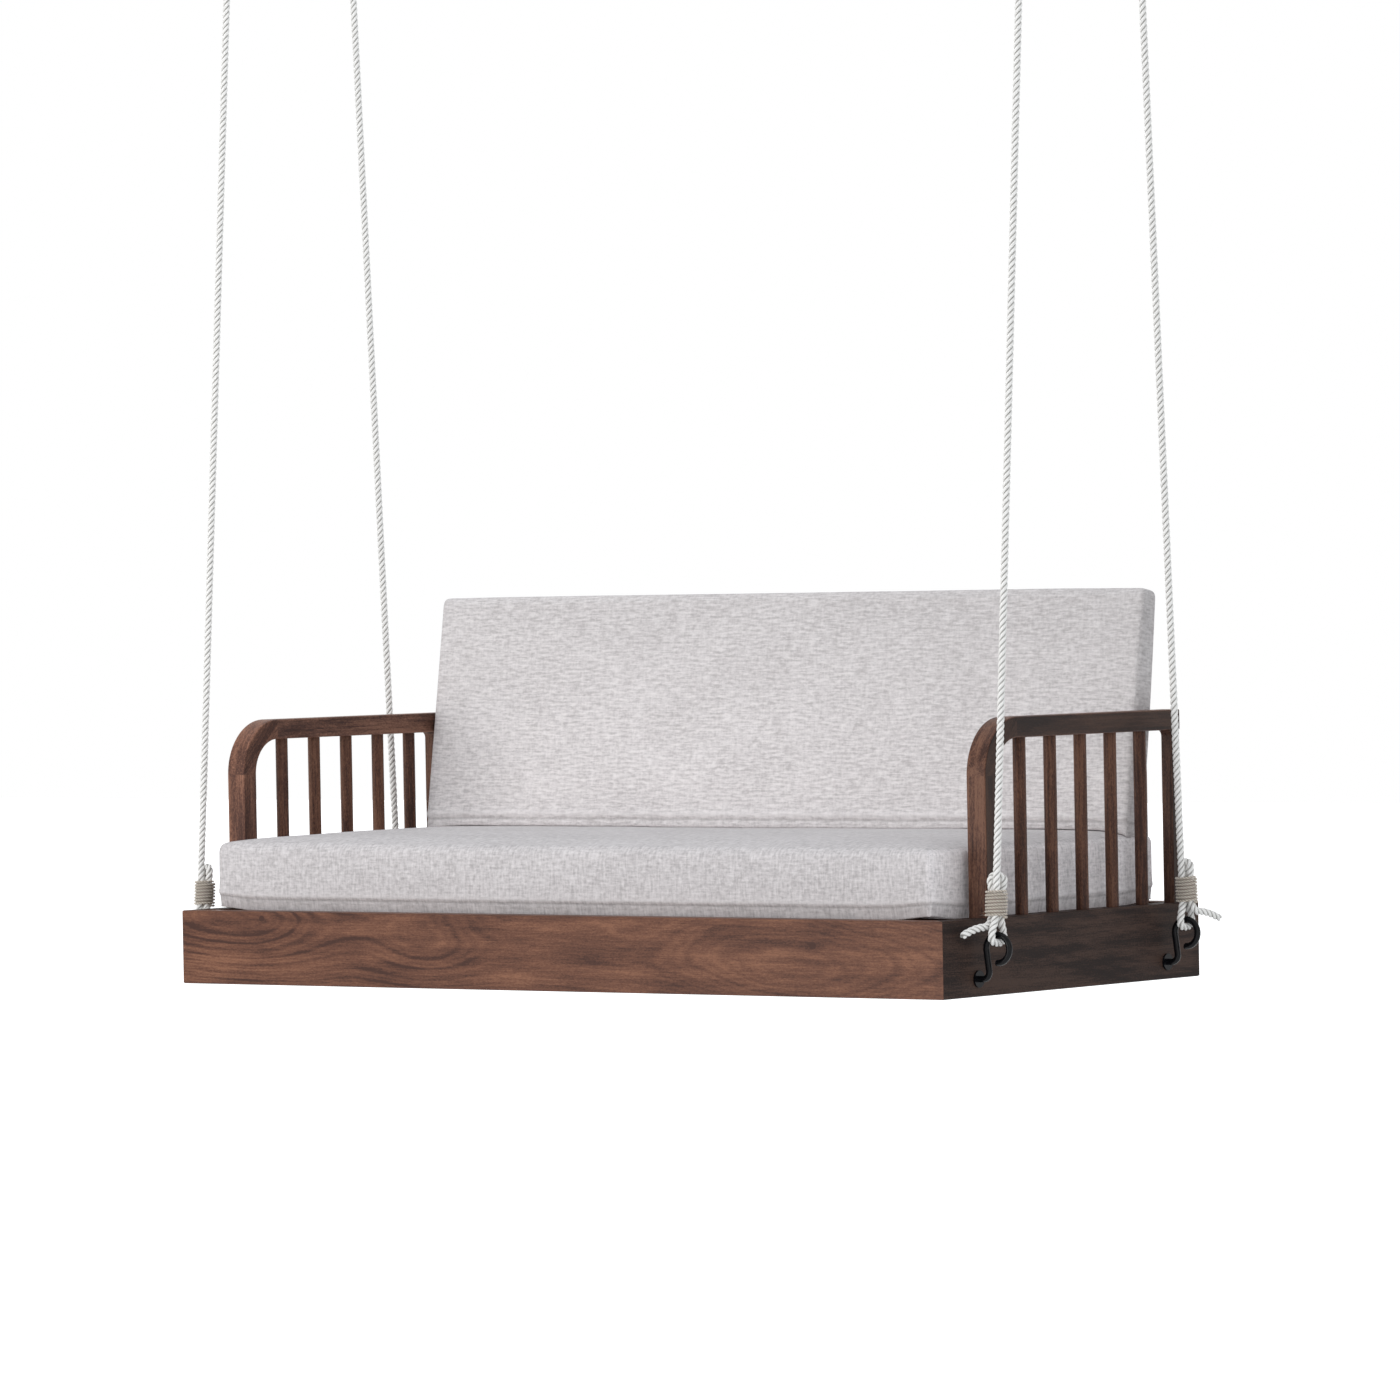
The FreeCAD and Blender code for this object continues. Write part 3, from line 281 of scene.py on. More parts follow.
@dataclass(frozen=True)
class WoodFinish:
    """Oiled hardwood with growth rings, streaks, fibres and pores.

    The heart line is given by its distances behind and above the pattern's zero and by its two
    slopes along the board. An oval is a place along the board, a half length and how much nearer
    the heart line comes to the face there. A knot is a place along and up the face and a radius.
    The figure is how strong the rings are and the mottle how uneven the tone is. Calm is where
    along the board the rings start to fade, where they have faded and the share that is left.
    An arm's inner and outer faces carry painted shade: two factors give how bright they are
    painted, standing in for the light that falls on them, and a third is half the arm's thickness.
    """

    name: str
    grain: Grain
    dark: Colour
    middle: Colour
    light: Colour
    heart: tuple[float, float] = (0.03, 0.06)
    slopes: tuple[float, float] = (0.05, 0.0)
    rings: float = 140.0
    waver: float = 0.03
    ovals: tuple[Triple, ...] = ()
    knots: tuple[Triple, ...] = ()
    figure: float = 0.26
    mottle: float = 1.0
    calm: Triple = (0.0, 1.0, 1.0)
    painted_face_shade: Triple = (1.0, 1.0, 0.0)
    arris: float = 0.0006
    roughness: float = 0.46
    gloss: float = 0.13

    def rings_from_heart(self, paint: Paint, spot: Socket) -> Value:
        """Number of growth rings between a point and the heart line.

        The line wanders. The number is the root of the summed squares of the two distances
        across the board, times the rings in a metre.

        Args:
            paint: material under construction.
            spot: coordinates with the grain along the first axis.

        Returns:
            The number.
        """
        along, aside, over = paint.parts(spot)
        wander = paint.noise(spot, (2.2, 9.0, 9.0), 2.0) - 0.5
        weave = paint.noise(spot, (5.5, 16.0, 16.0), 3.0, (3.1, 1.7, 5.3)) - 0.5
        depth = aside - self.heart[0] + wander * self.waver + along * self.slopes[0]
        for place, width, pull in self.ovals:
            apart = (along - place) / width
            depth = depth - (apart * apart * -1.0).exponential() * pull
        height = over - self.heart[1] - along * self.slopes[1] + weave * self.waver
        return (depth * depth + height * height) ** 0.5 * self.rings + weave * 1.2

    def make(self) -> Material:
        """The material: thin dark ring lines of uneven strength over streaks, fibres and pores.

        Returns:
            The material.
        """
        paint = Paint(self.name)
        spot = paint.place(self.grain.value)
        along, _, over = paint.parts(spot)
        phase = self.rings_from_heart(paint, spot)
        band = (phase * TURN).sine() * 0.5 + 0.5
        fine = (phase * (TURN * 2.4)).sine() * 0.5
        uneven = paint.noise(spot, (4.5, 30.0, 30.0), 2.0, (9.0, 2.0, 6.0))
        strength = paint.step(uneven, 0.36, 0.68) * 0.9 + 0.1
        fading, faded, left = self.calm
        if left < 1.0:
            strength = strength * (paint.step(along, faded, fading) * (1.0 - left) + left)
        streak = paint.noise(spot, (4.0, 75.0, 75.0), 4.0, rough=0.62) - 0.5
        fibre = paint.noise(spot, (22.0, 560.0, 560.0), 3.0, rough=0.7) - 0.5
        speck = paint.noise(spot, (240.0, 620.0, 620.0), 2.0, (5.0, 8.0, 3.0), 0.7) - 0.5
        patch = paint.noise(spot, (5.0, 22.0, 22.0), 3.0, (11.0, 4.0, 8.0)) - 0.5
        pores = paint.noise(spot, (75.0, 1300.0, 1300.0), 1.0, (7.0, 2.0, 1.0))
        pores = paint.step(pores, 0.62, 0.74)
        tone = streak * 0.75 + fibre * 0.60 + patch * 0.75 + speck * 0.65
        tone = tone * self.mottle + (0.60 - 0.25 * self.figure)
        tone = tone - band ** 2.6 * strength * (self.figure * 1.15) + fine * self.figure * 0.30
        for place, height, radius in self.knots:
            beside, above = along - place, over - height
            far = (beside * beside * 0.6 + above * above) ** 0.5
            tone = tone - paint.step(far, radius * 1.2, radius * 0.4) * 0.8
            tone = tone - paint.step(far, radius * 4.0, radius) * 0.1
        colour = paint.ramp(tone, ((0.08, self.dark), (0.50, self.middle), (0.88, self.light)))
        colour = paint.blend(pores * 0.5, colour, tuple(part * 0.5 for part in self.dark))
        # Painted shade: an arm's inner and outer faces are darkened by two factors, standing in for the
        # light that falls on them.
        sideways = paint.parts(paint.place())[0].size()
        inner, outer, half = self.painted_face_shade
        edge = half - self.arris
        outside = paint.step(sideways, ARM_MIDDLE + edge, ARM_MIDDLE + half)
        inside = paint.step(sideways, ARM_MIDDLE - edge, ARM_MIDDLE - half)
        shade = (outside * (outer - 1.0) + 1.0) * (inside * (inner - 1.0) + 1.0)
        grey = paint.ramp(shade, ((0.0, (0, 0, 0)), (1.0, (1, 1, 1))))
        colour = paint.blend(1.0, colour, grey, "MULTIPLY")
        rough = fibre * 0.12 + pores * 0.12 + self.roughness
        normal = paint.bump(fibre * 0.5 + streak * 0.3 - pores * 0.8, 0.35, 0.0004)
        return paint.finish(Base_Color=colour, Roughness=rough, Specular_IOR_Level=self.gloss,
                            Normal=normal)


@dataclass(frozen=True)
class ClothFinish:
    """Heathered upholstery cloth with slubs along and across.

    The slub is the share that the weft has in the pattern. The end is a factor on the cloth of the
    cushion's right end next to the rest, painted light where above 1 and painted shade where below 1,
    and the band is where in X it sets in. The slopes paint light and shade: they are how the painted
    brightness changes in a metre along X and Z, from a level in Z.
    """

    name: str
    shade: Colour
    pale: Colour
    deep: Colour
    slub: float
    end: float
    band: tuple[float, float] = (0.690, 0.701)
    slopes: tuple[float, float] = (0.0, 0.0)
    level: float = -1.37
    roughness: float = 0.92

    def make(self) -> Material:
        """The material: long thin noises along both threads of the cloth, with painted shade in its seams.

        Returns:
            The material.
        """
        paint = Paint(self.name)
        spot = paint.cloth_place()
        weft = paint.noise(spot, (38.0, 260.0, 1.0), 3.0, rough=0.62) - 0.5
        warp = paint.noise(spot, (250.0, 46.0, 1.0), 3.0, (5.0, 9.0, 0.0), 0.6) - 0.5
        fluff = paint.noise(spot, (110.0, 170.0, 1.0), 3.0, (2.0, 3.0, 0.0), 0.65) - 0.5
        yarn = paint.noise(spot, (1100.0, 1300.0, 1.0), 1.0, (1.0, 6.0, 0.0)) - 0.5
        cloud = paint.noise(spot, (6.0, 12.0, 1.0), 2.0, (8.0, 1.0, 0.0)) - 0.5
        tone = weft * (self.slub * 2.6) + warp * (2.2 - self.slub * 2.2) + fluff * 1.3
        tone = tone + yarn * 0.3 + cloud * 0.35 + 0.5
        colour = paint.ramp(tone, ((0.10, self.deep), (0.50, self.shade), (0.90, self.pale)))
        # Painted shade in the seams' grooves and on the strip that tucks under the lower seam, and a
        # painted highlight on the roll above it, read from the seam attribute.
        sewing = paint.node("ShaderNodeAttribute", {"attribute_name": "seam"})
        seam = Value(paint.tree, sewing.outputs[2])
        colour = paint.blend(seam.most(0.0) * 0.32, colour, tuple(part * 0.45 for part in self.deep))
        colour = paint.blend((seam * -1.0).most(0.0), colour, self.pale)
        # Painted light and shade by place: the slopes change the cloth's brightness along X and Z, and the
        # end factor brightens the seat cushion's right end and darkens the back cushion's.
        sideways, _, upward = paint.parts(paint.place())
        shade = sideways * self.slopes[0] + (upward - self.level) * self.slopes[1] + 1.0
        colour = paint.blend(1.0, colour, shade, "MULTIPLY")
        painted_end_mask = paint.step(sideways, *self.band)
        colour = paint.blend(painted_end_mask, colour, (self.end,) * 3, "MULTIPLY")
        relief = weft * 0.8 + warp * 0.5 + yarn * 0.5 + fluff * 0.3
        return paint.finish(Base_Color=colour, Roughness=self.roughness, Specular_IOR_Level=0.2,
                            Sheen_Weight=0.08, Sheen_Roughness=0.6,
                            Normal=paint.bump(relief, 0.30, 0.0007))


@dataclass(frozen=True)
class YarnFinish:
    """Twisted fibre of a rope or a twine, with fine yarns that slant along each strand.

    The yarns are counted round the strand, and the slant is the length in which they go round it.
    """

    name: str
    shade: Colour
    pale: Colour
    deep: Colour
    yarns: float = 5.0
    slant: float = 0.012
    fuzz: float = 0.5

    def make(self) -> Material:
        """The material: a sine across the strand that slants along it, broken up by fibres.

        The first coordinate is 0 where the strand faces out of the rope and a half where it faces
        its neighbours, where the rope is darkened by painted shade.

        Returns:
            The material.
        """
        paint = Paint(self.name)
        spot = paint.cloth_place()
        around, along, _ = paint.parts(spot)
        # Painted shade where a strand faces its neighbours.
        painted_hollow_shade = paint.step((around - 0.5).size(), 0.39, 0.25)
        fibre = paint.noise(spot, (26.0, 420.0, 1.0), 3.0, rough=0.65)
        mottle = paint.noise(spot, (1.0, 60.0, 1.0), 3.0, (4.0, 2.0, 0.0))
        turn = (around + along / self.slant) * (TURN * self.yarns) + fibre * 1.6
        ridge = turn.sine() * 0.5 + 0.5
        tone = ridge * 0.35 + fibre * self.fuzz + mottle * 0.35 - 0.1
        colour = paint.ramp(tone, ((0.10, self.deep), (0.45, self.shade), (0.85, self.pale)))
        colour = paint.blend(painted_hollow_shade * 0.75, colour, tuple(part * 0.6 for part in self.deep))
        return paint.finish(Base_Color=colour, Roughness=0.88, Sheen_Weight=0.1,
                            Normal=paint.bump(ridge * 0.6 + fibre, 0.45, 0.0004))


@dataclass(frozen=True)
class MetalFinish:
    """Bar or plate with an uneven coat that thins a little on its high spots."""

    name: str
    coat: Colour
    worn: Colour
    metallic: float
    roughness: float
    gloss: float = 0.5

    def make(self) -> Material:
        """The material: blotches of a fine and a coarse noise in colour, roughness and relief.

        Returns:
            The material.
        """
        paint = Paint(self.name)
        spot = paint.place()
        coarse = paint.noise(spot, (90.0, 90.0, 90.0), 3.0)
        fine = paint.noise(spot, (900.0, 900.0, 900.0), 2.0)
        colour = paint.blend(paint.step(coarse * 0.7 + fine * 0.3, 0.52, 0.74), self.coat, self.worn)
        rough = coarse * 0.16 + fine * 0.10 + (self.roughness - 0.13)
        normal = paint.bump(coarse * 0.6 + fine * 0.4, 0.12, 0.0002)
        return paint.finish(Base_Color=colour, Metallic=self.metallic, Roughness=rough,
                            Specular_IOR_Level=self.gloss, Normal=normal)


# Surfaces worked out as arrays


def unit(vectors: Array) -> Array:
    """Vectors in rows, each brought to a length of 1."""
    return vectors / np.linalg.norm(vectors, axis=1, keepdims=True)


def square_part(vectors: Array, axes: Array) -> Array:
    """What is left of vectors once their shares along axes of length 1 are taken out, row by row."""
    return vectors - axes * np.sum(vectors * axes, axis=1, keepdims=True)


def gaps_along(path: Array) -> Array:
    """Distances from each point of a path to the next."""
    return np.linalg.norm(np.diff(path, axis=0), axis=1)


def run_along(path: Array) -> Array:
    """Distance along a path from its first point to each of its points."""
    return np.concatenate([[0.0], np.cumsum(gaps_along(path))])


def bell(away: Array, width: float) -> Array:
    """A bell curve: e to the power of minus the square of a distance over a width."""
    return np.exp(-(away / width) ** 2)


def domed_ends(count: int, least: float) -> Array:
    """Shares of a strand's radius that dome its ends over two points, with a least share."""
    near_end = np.minimum(np.arange(count), np.arange(count)[::-1]) / 2.0
    return np.maximum(np.sqrt(np.clip(1 - (1 - np.clip(near_end, 0, 1)) ** 2, 0.0, 1.0)), least)


def grid_faces(rows: int, columns: int, closed: bool, first: int = 0) -> Array:
    """Quads over a grid of points stored row by row.

    Args:
        rows: points along the path.
        columns: points around the section.
        closed: whether the last column joins the first.
        first: number of the grid's first point.

    Returns:
        Corner numbers, one quad a row, turned outwards for a section that runs against the clock
        when seen along the path from its start.
    """
    spans = columns if closed else columns - 1
    row, column = np.meshgrid(np.arange(rows - 1), np.arange(spans), indexing="ij")
    after = (column + 1) % columns
    quads = np.stack([row * columns + column, row * columns + after,
                      (row + 1) * columns + after, (row + 1) * columns + column], axis=-1)
    return quads.reshape(-1, 4) + first


def make_piece(name: str, points: Array, faces: Array,
               corners: Array | None = None) -> bpy.types.Object:
    """A smooth mesh object at the origin.

    Args:
        name: name of the piece.
        points: corner places, one row each.
        faces: corner numbers of quads, one row each.
        corners: place on the cloth or strand of every face corner, in face order.

    Returns:
        The linked object.
    """
    mesh = bpy.data.meshes.new(name)
    mesh.vertices.add(len(points))
    mesh.vertices.foreach_set("co", points.astype(np.float32).ravel())
    mesh.loops.add(faces.size)
    mesh.loops.foreach_set("vertex_index", faces.astype(np.int32).ravel())
    mesh.polygons.add(len(faces))
    mesh.polygons.foreach_set("loop_start", np.arange(0, faces.size, 4, dtype=np.int32))
    mesh.polygons.foreach_set("use_smooth", np.ones(len(faces), dtype=bool))
    mesh.update(calc_edges=True)
    if corners is not None:
        layer = mesh.uv_layers.new(name="cloth")
        layer.uv.foreach_set("vector", corners.astype(np.float32).ravel())
    mesh.validate()
    made = bpy.data.objects.new(name, mesh)
    bpy.context.scene.collection.objects.link(made)
    log.info("%s: %d points, %d faces", name, len(points), len(faces))
    return made


def transported_frame(path: Array) -> Arrays:
    """Tangents and two normals along a path, with no twist of their own.

    A first normal is taken from the axis least in line with the tangent. The turn between each
    normal, carried to the next plane, and the next normal is summed up and taken out again.

    Args:
        path: points in order.

    Returns:
        Tangent, normal and second normal at every point.
    """
    tangent = unit(np.gradient(path, axis=0))
    axis = np.eye(3)[np.argmin(np.abs(tangent), axis=1)]
    normal = unit(square_part(axis, tangent))
    second = np.cross(tangent, normal)
    carried = square_part(normal[:-1], tangent[1:])
    turn = np.arctan2(np.sum(carried * second[1:], axis=1), np.sum(carried * normal[1:], axis=1))
    angle = np.concatenate([[0.0], np.cumsum(turn)])[:, None]
    return (tangent, normal * np.cos(angle) + second * np.sin(angle),
            second * np.cos(angle) - normal * np.sin(angle))


def tube(path: Array, radius: Array, around: int, start: float = 0.0,
         outward: Array | None = None) -> Arrays:
    """A closed tube: circles of a radius about a path, each end drawn to a point by its radius.

    Args:
        path: centre points in order.
        radius: radius at every point.
        around: points in each circle.
        start: distance along the strand of the first point.
        outward: directions in which the circles start, or none for a frame without twist.

    Returns:
        Points, quads and the place of every face corner around and along the strand.
    """
    tangent, normal, second = transported_frame(path)
    if outward is not None:
        normal = unit(square_part(outward, tangent))
        second = np.cross(tangent, normal)
    angle = np.linspace(0, TURN, around, endpoint=False)[None, :, None]
    ring = normal[:, None] * np.cos(angle) + second[:, None] * np.sin(angle)
    points = (path[:, None] + ring * radius[:, None, None]).reshape(-1, 3)
    faces = grid_faces(len(path), around, True)
    along = start + run_along(path)
    row, column = np.meshgrid(np.arange(len(path) - 1), np.arange(around), indexing="ij")
    u = np.stack([column, column + 1, column + 1, column], axis=-1) / around
    v = np.stack([along[row], along[row], along[row + 1], along[row + 1]], axis=-1)
    return points, faces, np.stack([u, v], axis=-1).reshape(-1, 2)


def stack_parts(parts: list[Arrays]) -> Arrays:
    """Several meshes as one: their points, faces and corner places laid end to end."""
    offsets = np.cumsum([0] + [len(points) for points, _, _ in parts])
    faces = [face + offset for (_, face, _), offset in zip(parts, offsets)]
    return (np.concatenate([points for points, _, _ in parts]), np.concatenate(faces),
            np.concatenate([corners for _, _, corners in parts]))


# Ropes and lashings


@dataclass(frozen=True)
class Hanger:
    """One rope of the four, with the frame in which its knots are laid out."""

    end: str
    side: str
    foot: Triple
    head: Triple
    tail_side: float
    tail_way: float
    length: float

    @property
    def name(self) -> str:
        """Name of the rope's node."""
        return f"{self.end}_{self.side}"

    @property
    def body(self) -> str:
        """Body that the rope rides on."""
        return f"{self.end}_ropes"

    @property
    def reach(self) -> float:
        """Distance between the bars that the rope goes round."""
        return float(np.linalg.norm(np.subtract(self.head, self.foot)))

    def placed(self, points: Array) -> Array:
        """Points of the rope's own frame, moved to the swing.

        Args:
            points: (across, along, up), with up towards the ceiling eye.

        Returns:
            The points in the model's frame.
        """
        up = np.subtract(self.head, self.foot) / self.reach
        across = np.array([1.0, 0.0, 0.0])
        return np.asarray(self.foot) + points @ np.stack([across, np.cross(up, across), up])


@dataclass
class RopeMaker:
    """Three-strand ropes with folded, lashed ends, and the twine of their lashings.

    The twine has two plies, which wind about each other once in every ply lay. It starts at a
    height above the rope's eye and rises by its pitch in every turn of a coil about both legs.
    """

    diameter: float = 0.012
    lay: float = 0.029
    strand_radius: float = 0.00285
    strand_offset: float = 0.00312
    spacing: float = 0.0019
    strand_sides: int = 10
    twine_pitch: float = 0.0050
    twine_turns: int = 8
    twine_start: float = 0.0268
    twine_lead: float = 0.0038
    twine_spacing: float = 0.0011
    twine_waver: tuple[float, float] = (0.00012, 0.00022)
    ply_lay: float = 0.0095
    ply_radius: float = 0.00100
    ply_offset: float = 0.00088
    ply_sides: int = 8
    coil_radius: float = 0.01547
    coil_aside: float = 0.003637
    wrap_depth: float = 0.0013
    wrap_end: float = 0.0003
    hairs: int = 26
    hair_radius: float = 0.00016
    hair_root: float = 0.0014
    hair_lengths: tuple[float, float] = (0.003, 0.0075)
    tail: tuple[Triple, ...] = (
        (-0.026, 0.058, -0.004), (-0.019, 0.032, 0.010), (-0.0109, 0.0, 0.012))
    knot: tuple[Triple, ...] = (
        (-0.0109, 0.0, 0.0665), (-0.0141, -0.00185, 0.0755), (-0.0141, -0.00185, 0.090),
        (0.0032, 0.00815, 0.090), (0.0032, 0.00815, 0.0755), (0.0, 0.0063, 0.0665),
        (0.0, 0.0063, 0.024), (0.0, 0.0158, 0.003), (0.0, 0.0158, -0.0116),
        (0.0, -0.0158, -0.0116), (0.0, -0.0158, 0.003), (0.0, -0.0063, 0.024), (0.0, -0.0063, 0.072))
    finish: YarnFinish = YarnFinish("white_cotton", (0.90, 0.885, 0.86), (0.96, 0.95, 0.93),
                                    (0.56, 0.54, 0.505))
    twine_finish: YarnFinish = YarnFinish("jute_twine", (0.74, 0.665, 0.575), (0.90, 0.84, 0.765),
                                          (0.30, 0.235, 0.175), 3.0, 0.006, 0.55)
    materials: dict[str, Material] = field(default_factory=dict)

    def route(self, hanger: Hanger) -> Array:
        """Points of a rope from the tip of its lower tail to the tip of its upper one."""
        side = np.array([hanger.tail_side, 1.0, 1.0])
        tail = np.array(self.tail) * side * np.array([1.0, hanger.tail_way, 1.0])
        lower = np.concatenate([tail, np.array(self.knot) * side])
        upper = lower[::-1] * np.array([1.0, 1.0, -1.0]) + np.array([0.0, 0.0, hanger.reach])
        return hanger.placed(np.concatenate([lower, upper]))

    def centreline(self, hanger: Hanger) -> Array:
        """Even points along the smooth spline that has the route's points as its control points."""
        curve = bpy.data.curves.new(f"{hanger.name}_line", "CURVE")
        curve.dimensions = "3D"
        route = self.route(hanger)
        spline = curve.splines.new("NURBS")
        spline.points.add(len(route) - 1)
        spline.points.foreach_set("co", np.column_stack([route, np.ones(len(route))]).ravel())
        spline.order_u = 3
        spline.use_endpoint_u = True
        spline.resolution_u = 24
        holder = bpy.data.objects.new(curve.name, curve)
        bpy.context.scene.collection.objects.link(holder)
        bpy.context.view_layer.update()
        line = bpy.data.meshes.new_from_object(holder)
        points = np.empty(len(line.vertices) * 3)
        line.vertices.foreach_get("co", points)
        points = points.reshape(-1, 3)
        bpy.data.objects.remove(holder)
        bpy.data.meshes.remove(line)
        points = points[np.concatenate([[True], gaps_along(points) > TINY / 10])]
        run = run_along(points)
        even = np.linspace(0.0, run[-1], round(run[-1] / self.spacing))
        return np.stack([np.interp(even, run, points[:, axis]) for axis in range(3)], axis=1)

    def strands(self, line: Array) -> Arrays:
        """Three strands wound right-handed about a line.

        Each strand's centre stands off the line by an offset whose direction turns once in every
        lay of the rope, and the three start a third of a turn apart.

        Args:
            line: even points of the rope's centre line.

        Returns:
            Points, quads and corner places.
        """
        turn = TURN * np.arange(len(line)) * self.spacing / self.lay
        radius = self.strand_radius * domed_ends(len(line), 0.02)
        return stack_parts(self.wound(line, turn, 3, self.strand_offset, radius,
                                      self.strand_sides, 0.4))

    def wound(self, line: Array, turn: Array, count: int, offset: float, radius: Array, sides: int,
              shift: float) -> list[Arrays]:
        """Strands that stand off a line by an offset whose direction turns along it.

        Args:
            line: centre line.
            turn: angle of the first strand's direction at every point.
            count: number of strands, spread evenly over a full turn.
            offset: distance of their centres from the line.
            radius: radius of each strand at every point.
            sides: points round each strand.
            shift: distance along the strand by which the pattern of each is shifted from the last.

        Returns:
            A tube for each strand.
        """
        _, normal, second = transported_frame(line)
        parts = []
        for strand in range(count):
            angle = (turn + strand * TURN / count)[:, None]
            outward = normal * np.cos(angle) + second * np.sin(angle)
            parts.append(tube(line + outward * offset, radius, sides, strand * shift, outward))
        return parts

    def lashing(self, hanger: Hanger, level: str, seed: int) -> Arrays:
        """Two-ply twine wound about the folded legs of a rope, with loose fibres.

        The centre line is a helix whose radius and height waver a little. Each ply stands off it
        by an offset that turns about it.

        Args:
            hanger: rope that it ties.
            level: lower or upper.
            seed: start of the random numbers.

        Returns:
            Points, quads and corner places.
        """
        random = np.random.default_rng(seed)
        phases = random.uniform(0, TURN, 4)
        turns = TURN * self.twine_turns
        angle = np.linspace(0.0, turns, round(self.coil_radius * turns / self.twine_spacing))
        out, up = self.twine_waver
        radius = self.coil_radius + out * np.sin(angle * 0.53 + phases[0])
        rise = angle * self.twine_pitch / TURN + up * np.sin(angle * 0.71 + phases[2])
        line = np.stack([radius * np.cos(angle), radius * np.sin(angle), rise], axis=1)
        ends = [(line[0], line[0] - line[1], 1), (line[-1], line[-1] - line[-2], -1)]
        away = np.linspace(self.twine_lead, 0.001, 4)[:, None]
        leads = [place + way / np.linalg.norm(way) * away[::order]
                 for place, way, order in ends]
        line = np.concatenate([leads[0], line, leads[1]])
        twist = TURN * run_along(line) / self.ply_lay
        width = self.ply_radius * domed_ends(len(line), 0.03)
        parts = self.wound(line, twist, 2, self.ply_offset, width, self.ply_sides, 0.5)
        parts.append(self.painted_shade_wrap(float(line[:, 2].min()), float(line[:, 2].max())))
        parts.append(self.loose_fibres(line, random))
        points, faces, corners = stack_parts(parts)
        points[:, 0] -= hanger.tail_side * self.coil_aside
        points[:, 2] += self.twine_start
        if level == "upper":
            points = points * np.array([1.0, -1.0, -1.0]) + np.array([0.0, 0.0, hanger.reach])
        return hanger.placed(points), faces, corners

    def painted_shade_wrap(self, low: float, high: float) -> Arrays:
        """A tube of twine about the lashing's axis under the outer turns, all in painted shade.

        Args:
            low: height of its lower end.
            high: height of its upper end.

        Returns:
            Points, quads and corner places, all where the finish paints the strand's shade.
        """
        rows = 12
        axis = np.zeros((rows, 3))
        axis[:, 2] = np.linspace(low, high, rows)
        width = np.full(rows, self.coil_radius - self.wrap_depth)
        width[[0, -1]] = self.wrap_end
        points, faces, corners = tube(axis, width, 32)
        # Every corner gets the finish's painted shade, so the gaps between the turns look dark.
        corners[:, 0] = 0.5
        return points, faces, corners

    def loose_fibres(self, line: Array, random: np.random.Generator) -> Arrays:
        """Hairs that curl away from a twine: thin three-sided tapers along bent lines.

        Args:
            line: centre line of the twine, wound about the third axis.
            random: source of the random numbers.

        Returns:
            Points, quads and corner places.
        """
        count = self.hairs
        root = line[random.integers(0, len(line), count)]
        out = unit(root * np.array([1.0, 1.0, 0.0]))
        way = out * 0.8 + random.normal(0.0, 0.6, (count, 3))
        bend = random.normal(0.0, 0.5, (count, 3))
        size = random.uniform(*self.hair_lengths, (count, 1, 1))
        share = np.linspace(0.0, 1.0, 5)[None, :, None]
        curl = way[:, None] * share + bend[:, None] * share ** 2
        centre = (root + out * self.hair_root)[:, None] + size * curl
        taper = self.hair_radius * np.linspace(1.0, 0.1, 5)
        return stack_parts([tube(hair, taper, 3) for hair in centre])

    def build(self, hanger: Hanger, number: int) -> None:
        """Args:
            hanger: the rope.
            number: its number, which seeds its lashings.
        """
        line = self.centreline(hanger)
        rope = make_piece(f"{hanger.name}_three_strand_rope", *self.strands(line))
        rope.data.materials.append(self.materials["rope"])
        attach(rope, hanger.body)
        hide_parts(f"{hanger.name}_rope")
        for step, level in enumerate(("lower", "upper")):
            winding = self.lashing(hanger, level, 10 * number + step)
            tie = make_piece(f"{hanger.name}_{level}_twine", *winding)
            tie.data.materials.append(self.materials["twine"])
            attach(tie, hanger.body)
            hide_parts(f"{hanger.end}_{level}_lashings")

    def build_all(self, hangers: list[Hanger]) -> None:
        """Make every rope."""
        self.materials = {"rope": self.finish.make(), "twine": self.twine_finish.make()}
        for number, hanger in enumerate(hangers):
            self.build(hanger, number)


# Cushions


@dataclass
class Lattice:
    """The outer points of a box of grid lines, welded along its edges."""

    lines: Arrays
    index: Array = field(init=False)
    points: Array = field(init=False)
    faces: Array = field(init=False)
    corners: Array = field(init=False)

    def __post_init__(self) -> None:
        """Number the outer points and lay quads and cloth places over the six sides.

        The cloth runs on from the front over the top: its second coordinate is the height below
        the top on an upright side and the depth on a level one.
        """
        counts = tuple(len(line) for line in self.lines)
        steps = np.meshgrid(*[np.arange(count) for count in counts], indexing="ij")
        outer = np.zeros(counts, dtype=bool)
        for step, count in zip(steps, counts):
            outer |= (step == 0) | (step == count - 1)
        self.index = np.full(counts, -1)
        self.index[outer] = np.arange(outer.sum())
        self.points = np.stack([line[step[outer]] for line, step in zip(self.lines, steps)], axis=1)
        top = self.lines[2][-1]
        faces, corners = [], []
        for axis in range(3):
            for end in (0, -1):
                numbers = np.take(self.index, end, axis=axis)
                quads = np.stack([numbers[:-1, :-1], numbers[1:, :-1], numbers[1:, 1:],
                                  numbers[:-1, 1:]], axis=-1).reshape(-1, 4)
                if (end == 0) == (axis != 1):
                    quads = quads[:, ::-1]
                spots = self.points[quads]
                if axis == 0:
                    places = np.stack([spots[..., 1] + 2.0, spots[..., 2] - top], axis=-1)
                elif axis == 1:
                    places = np.stack([spots[..., 0], spots[..., 2] - top], axis=-1)
                else:
                    places = np.stack([spots[..., 0], spots[..., 1]], axis=-1)
                faces.append(quads)
                corners.append(places.reshape(-1, 2))
        self.faces = np.concatenate(faces)
        self.corners = np.concatenate(corners)


EDGE_LINES = np.array([0.0, 0.004, 0.009, 0.015, 0.023])
ROLL_HEIGHT = 0.0065
SEAM_LINES = np.array([-0.003, 0.0, 0.003, ROLL_HEIGHT, 0.010])
SEAM_ROOM = (-0.0045, 0.0125)


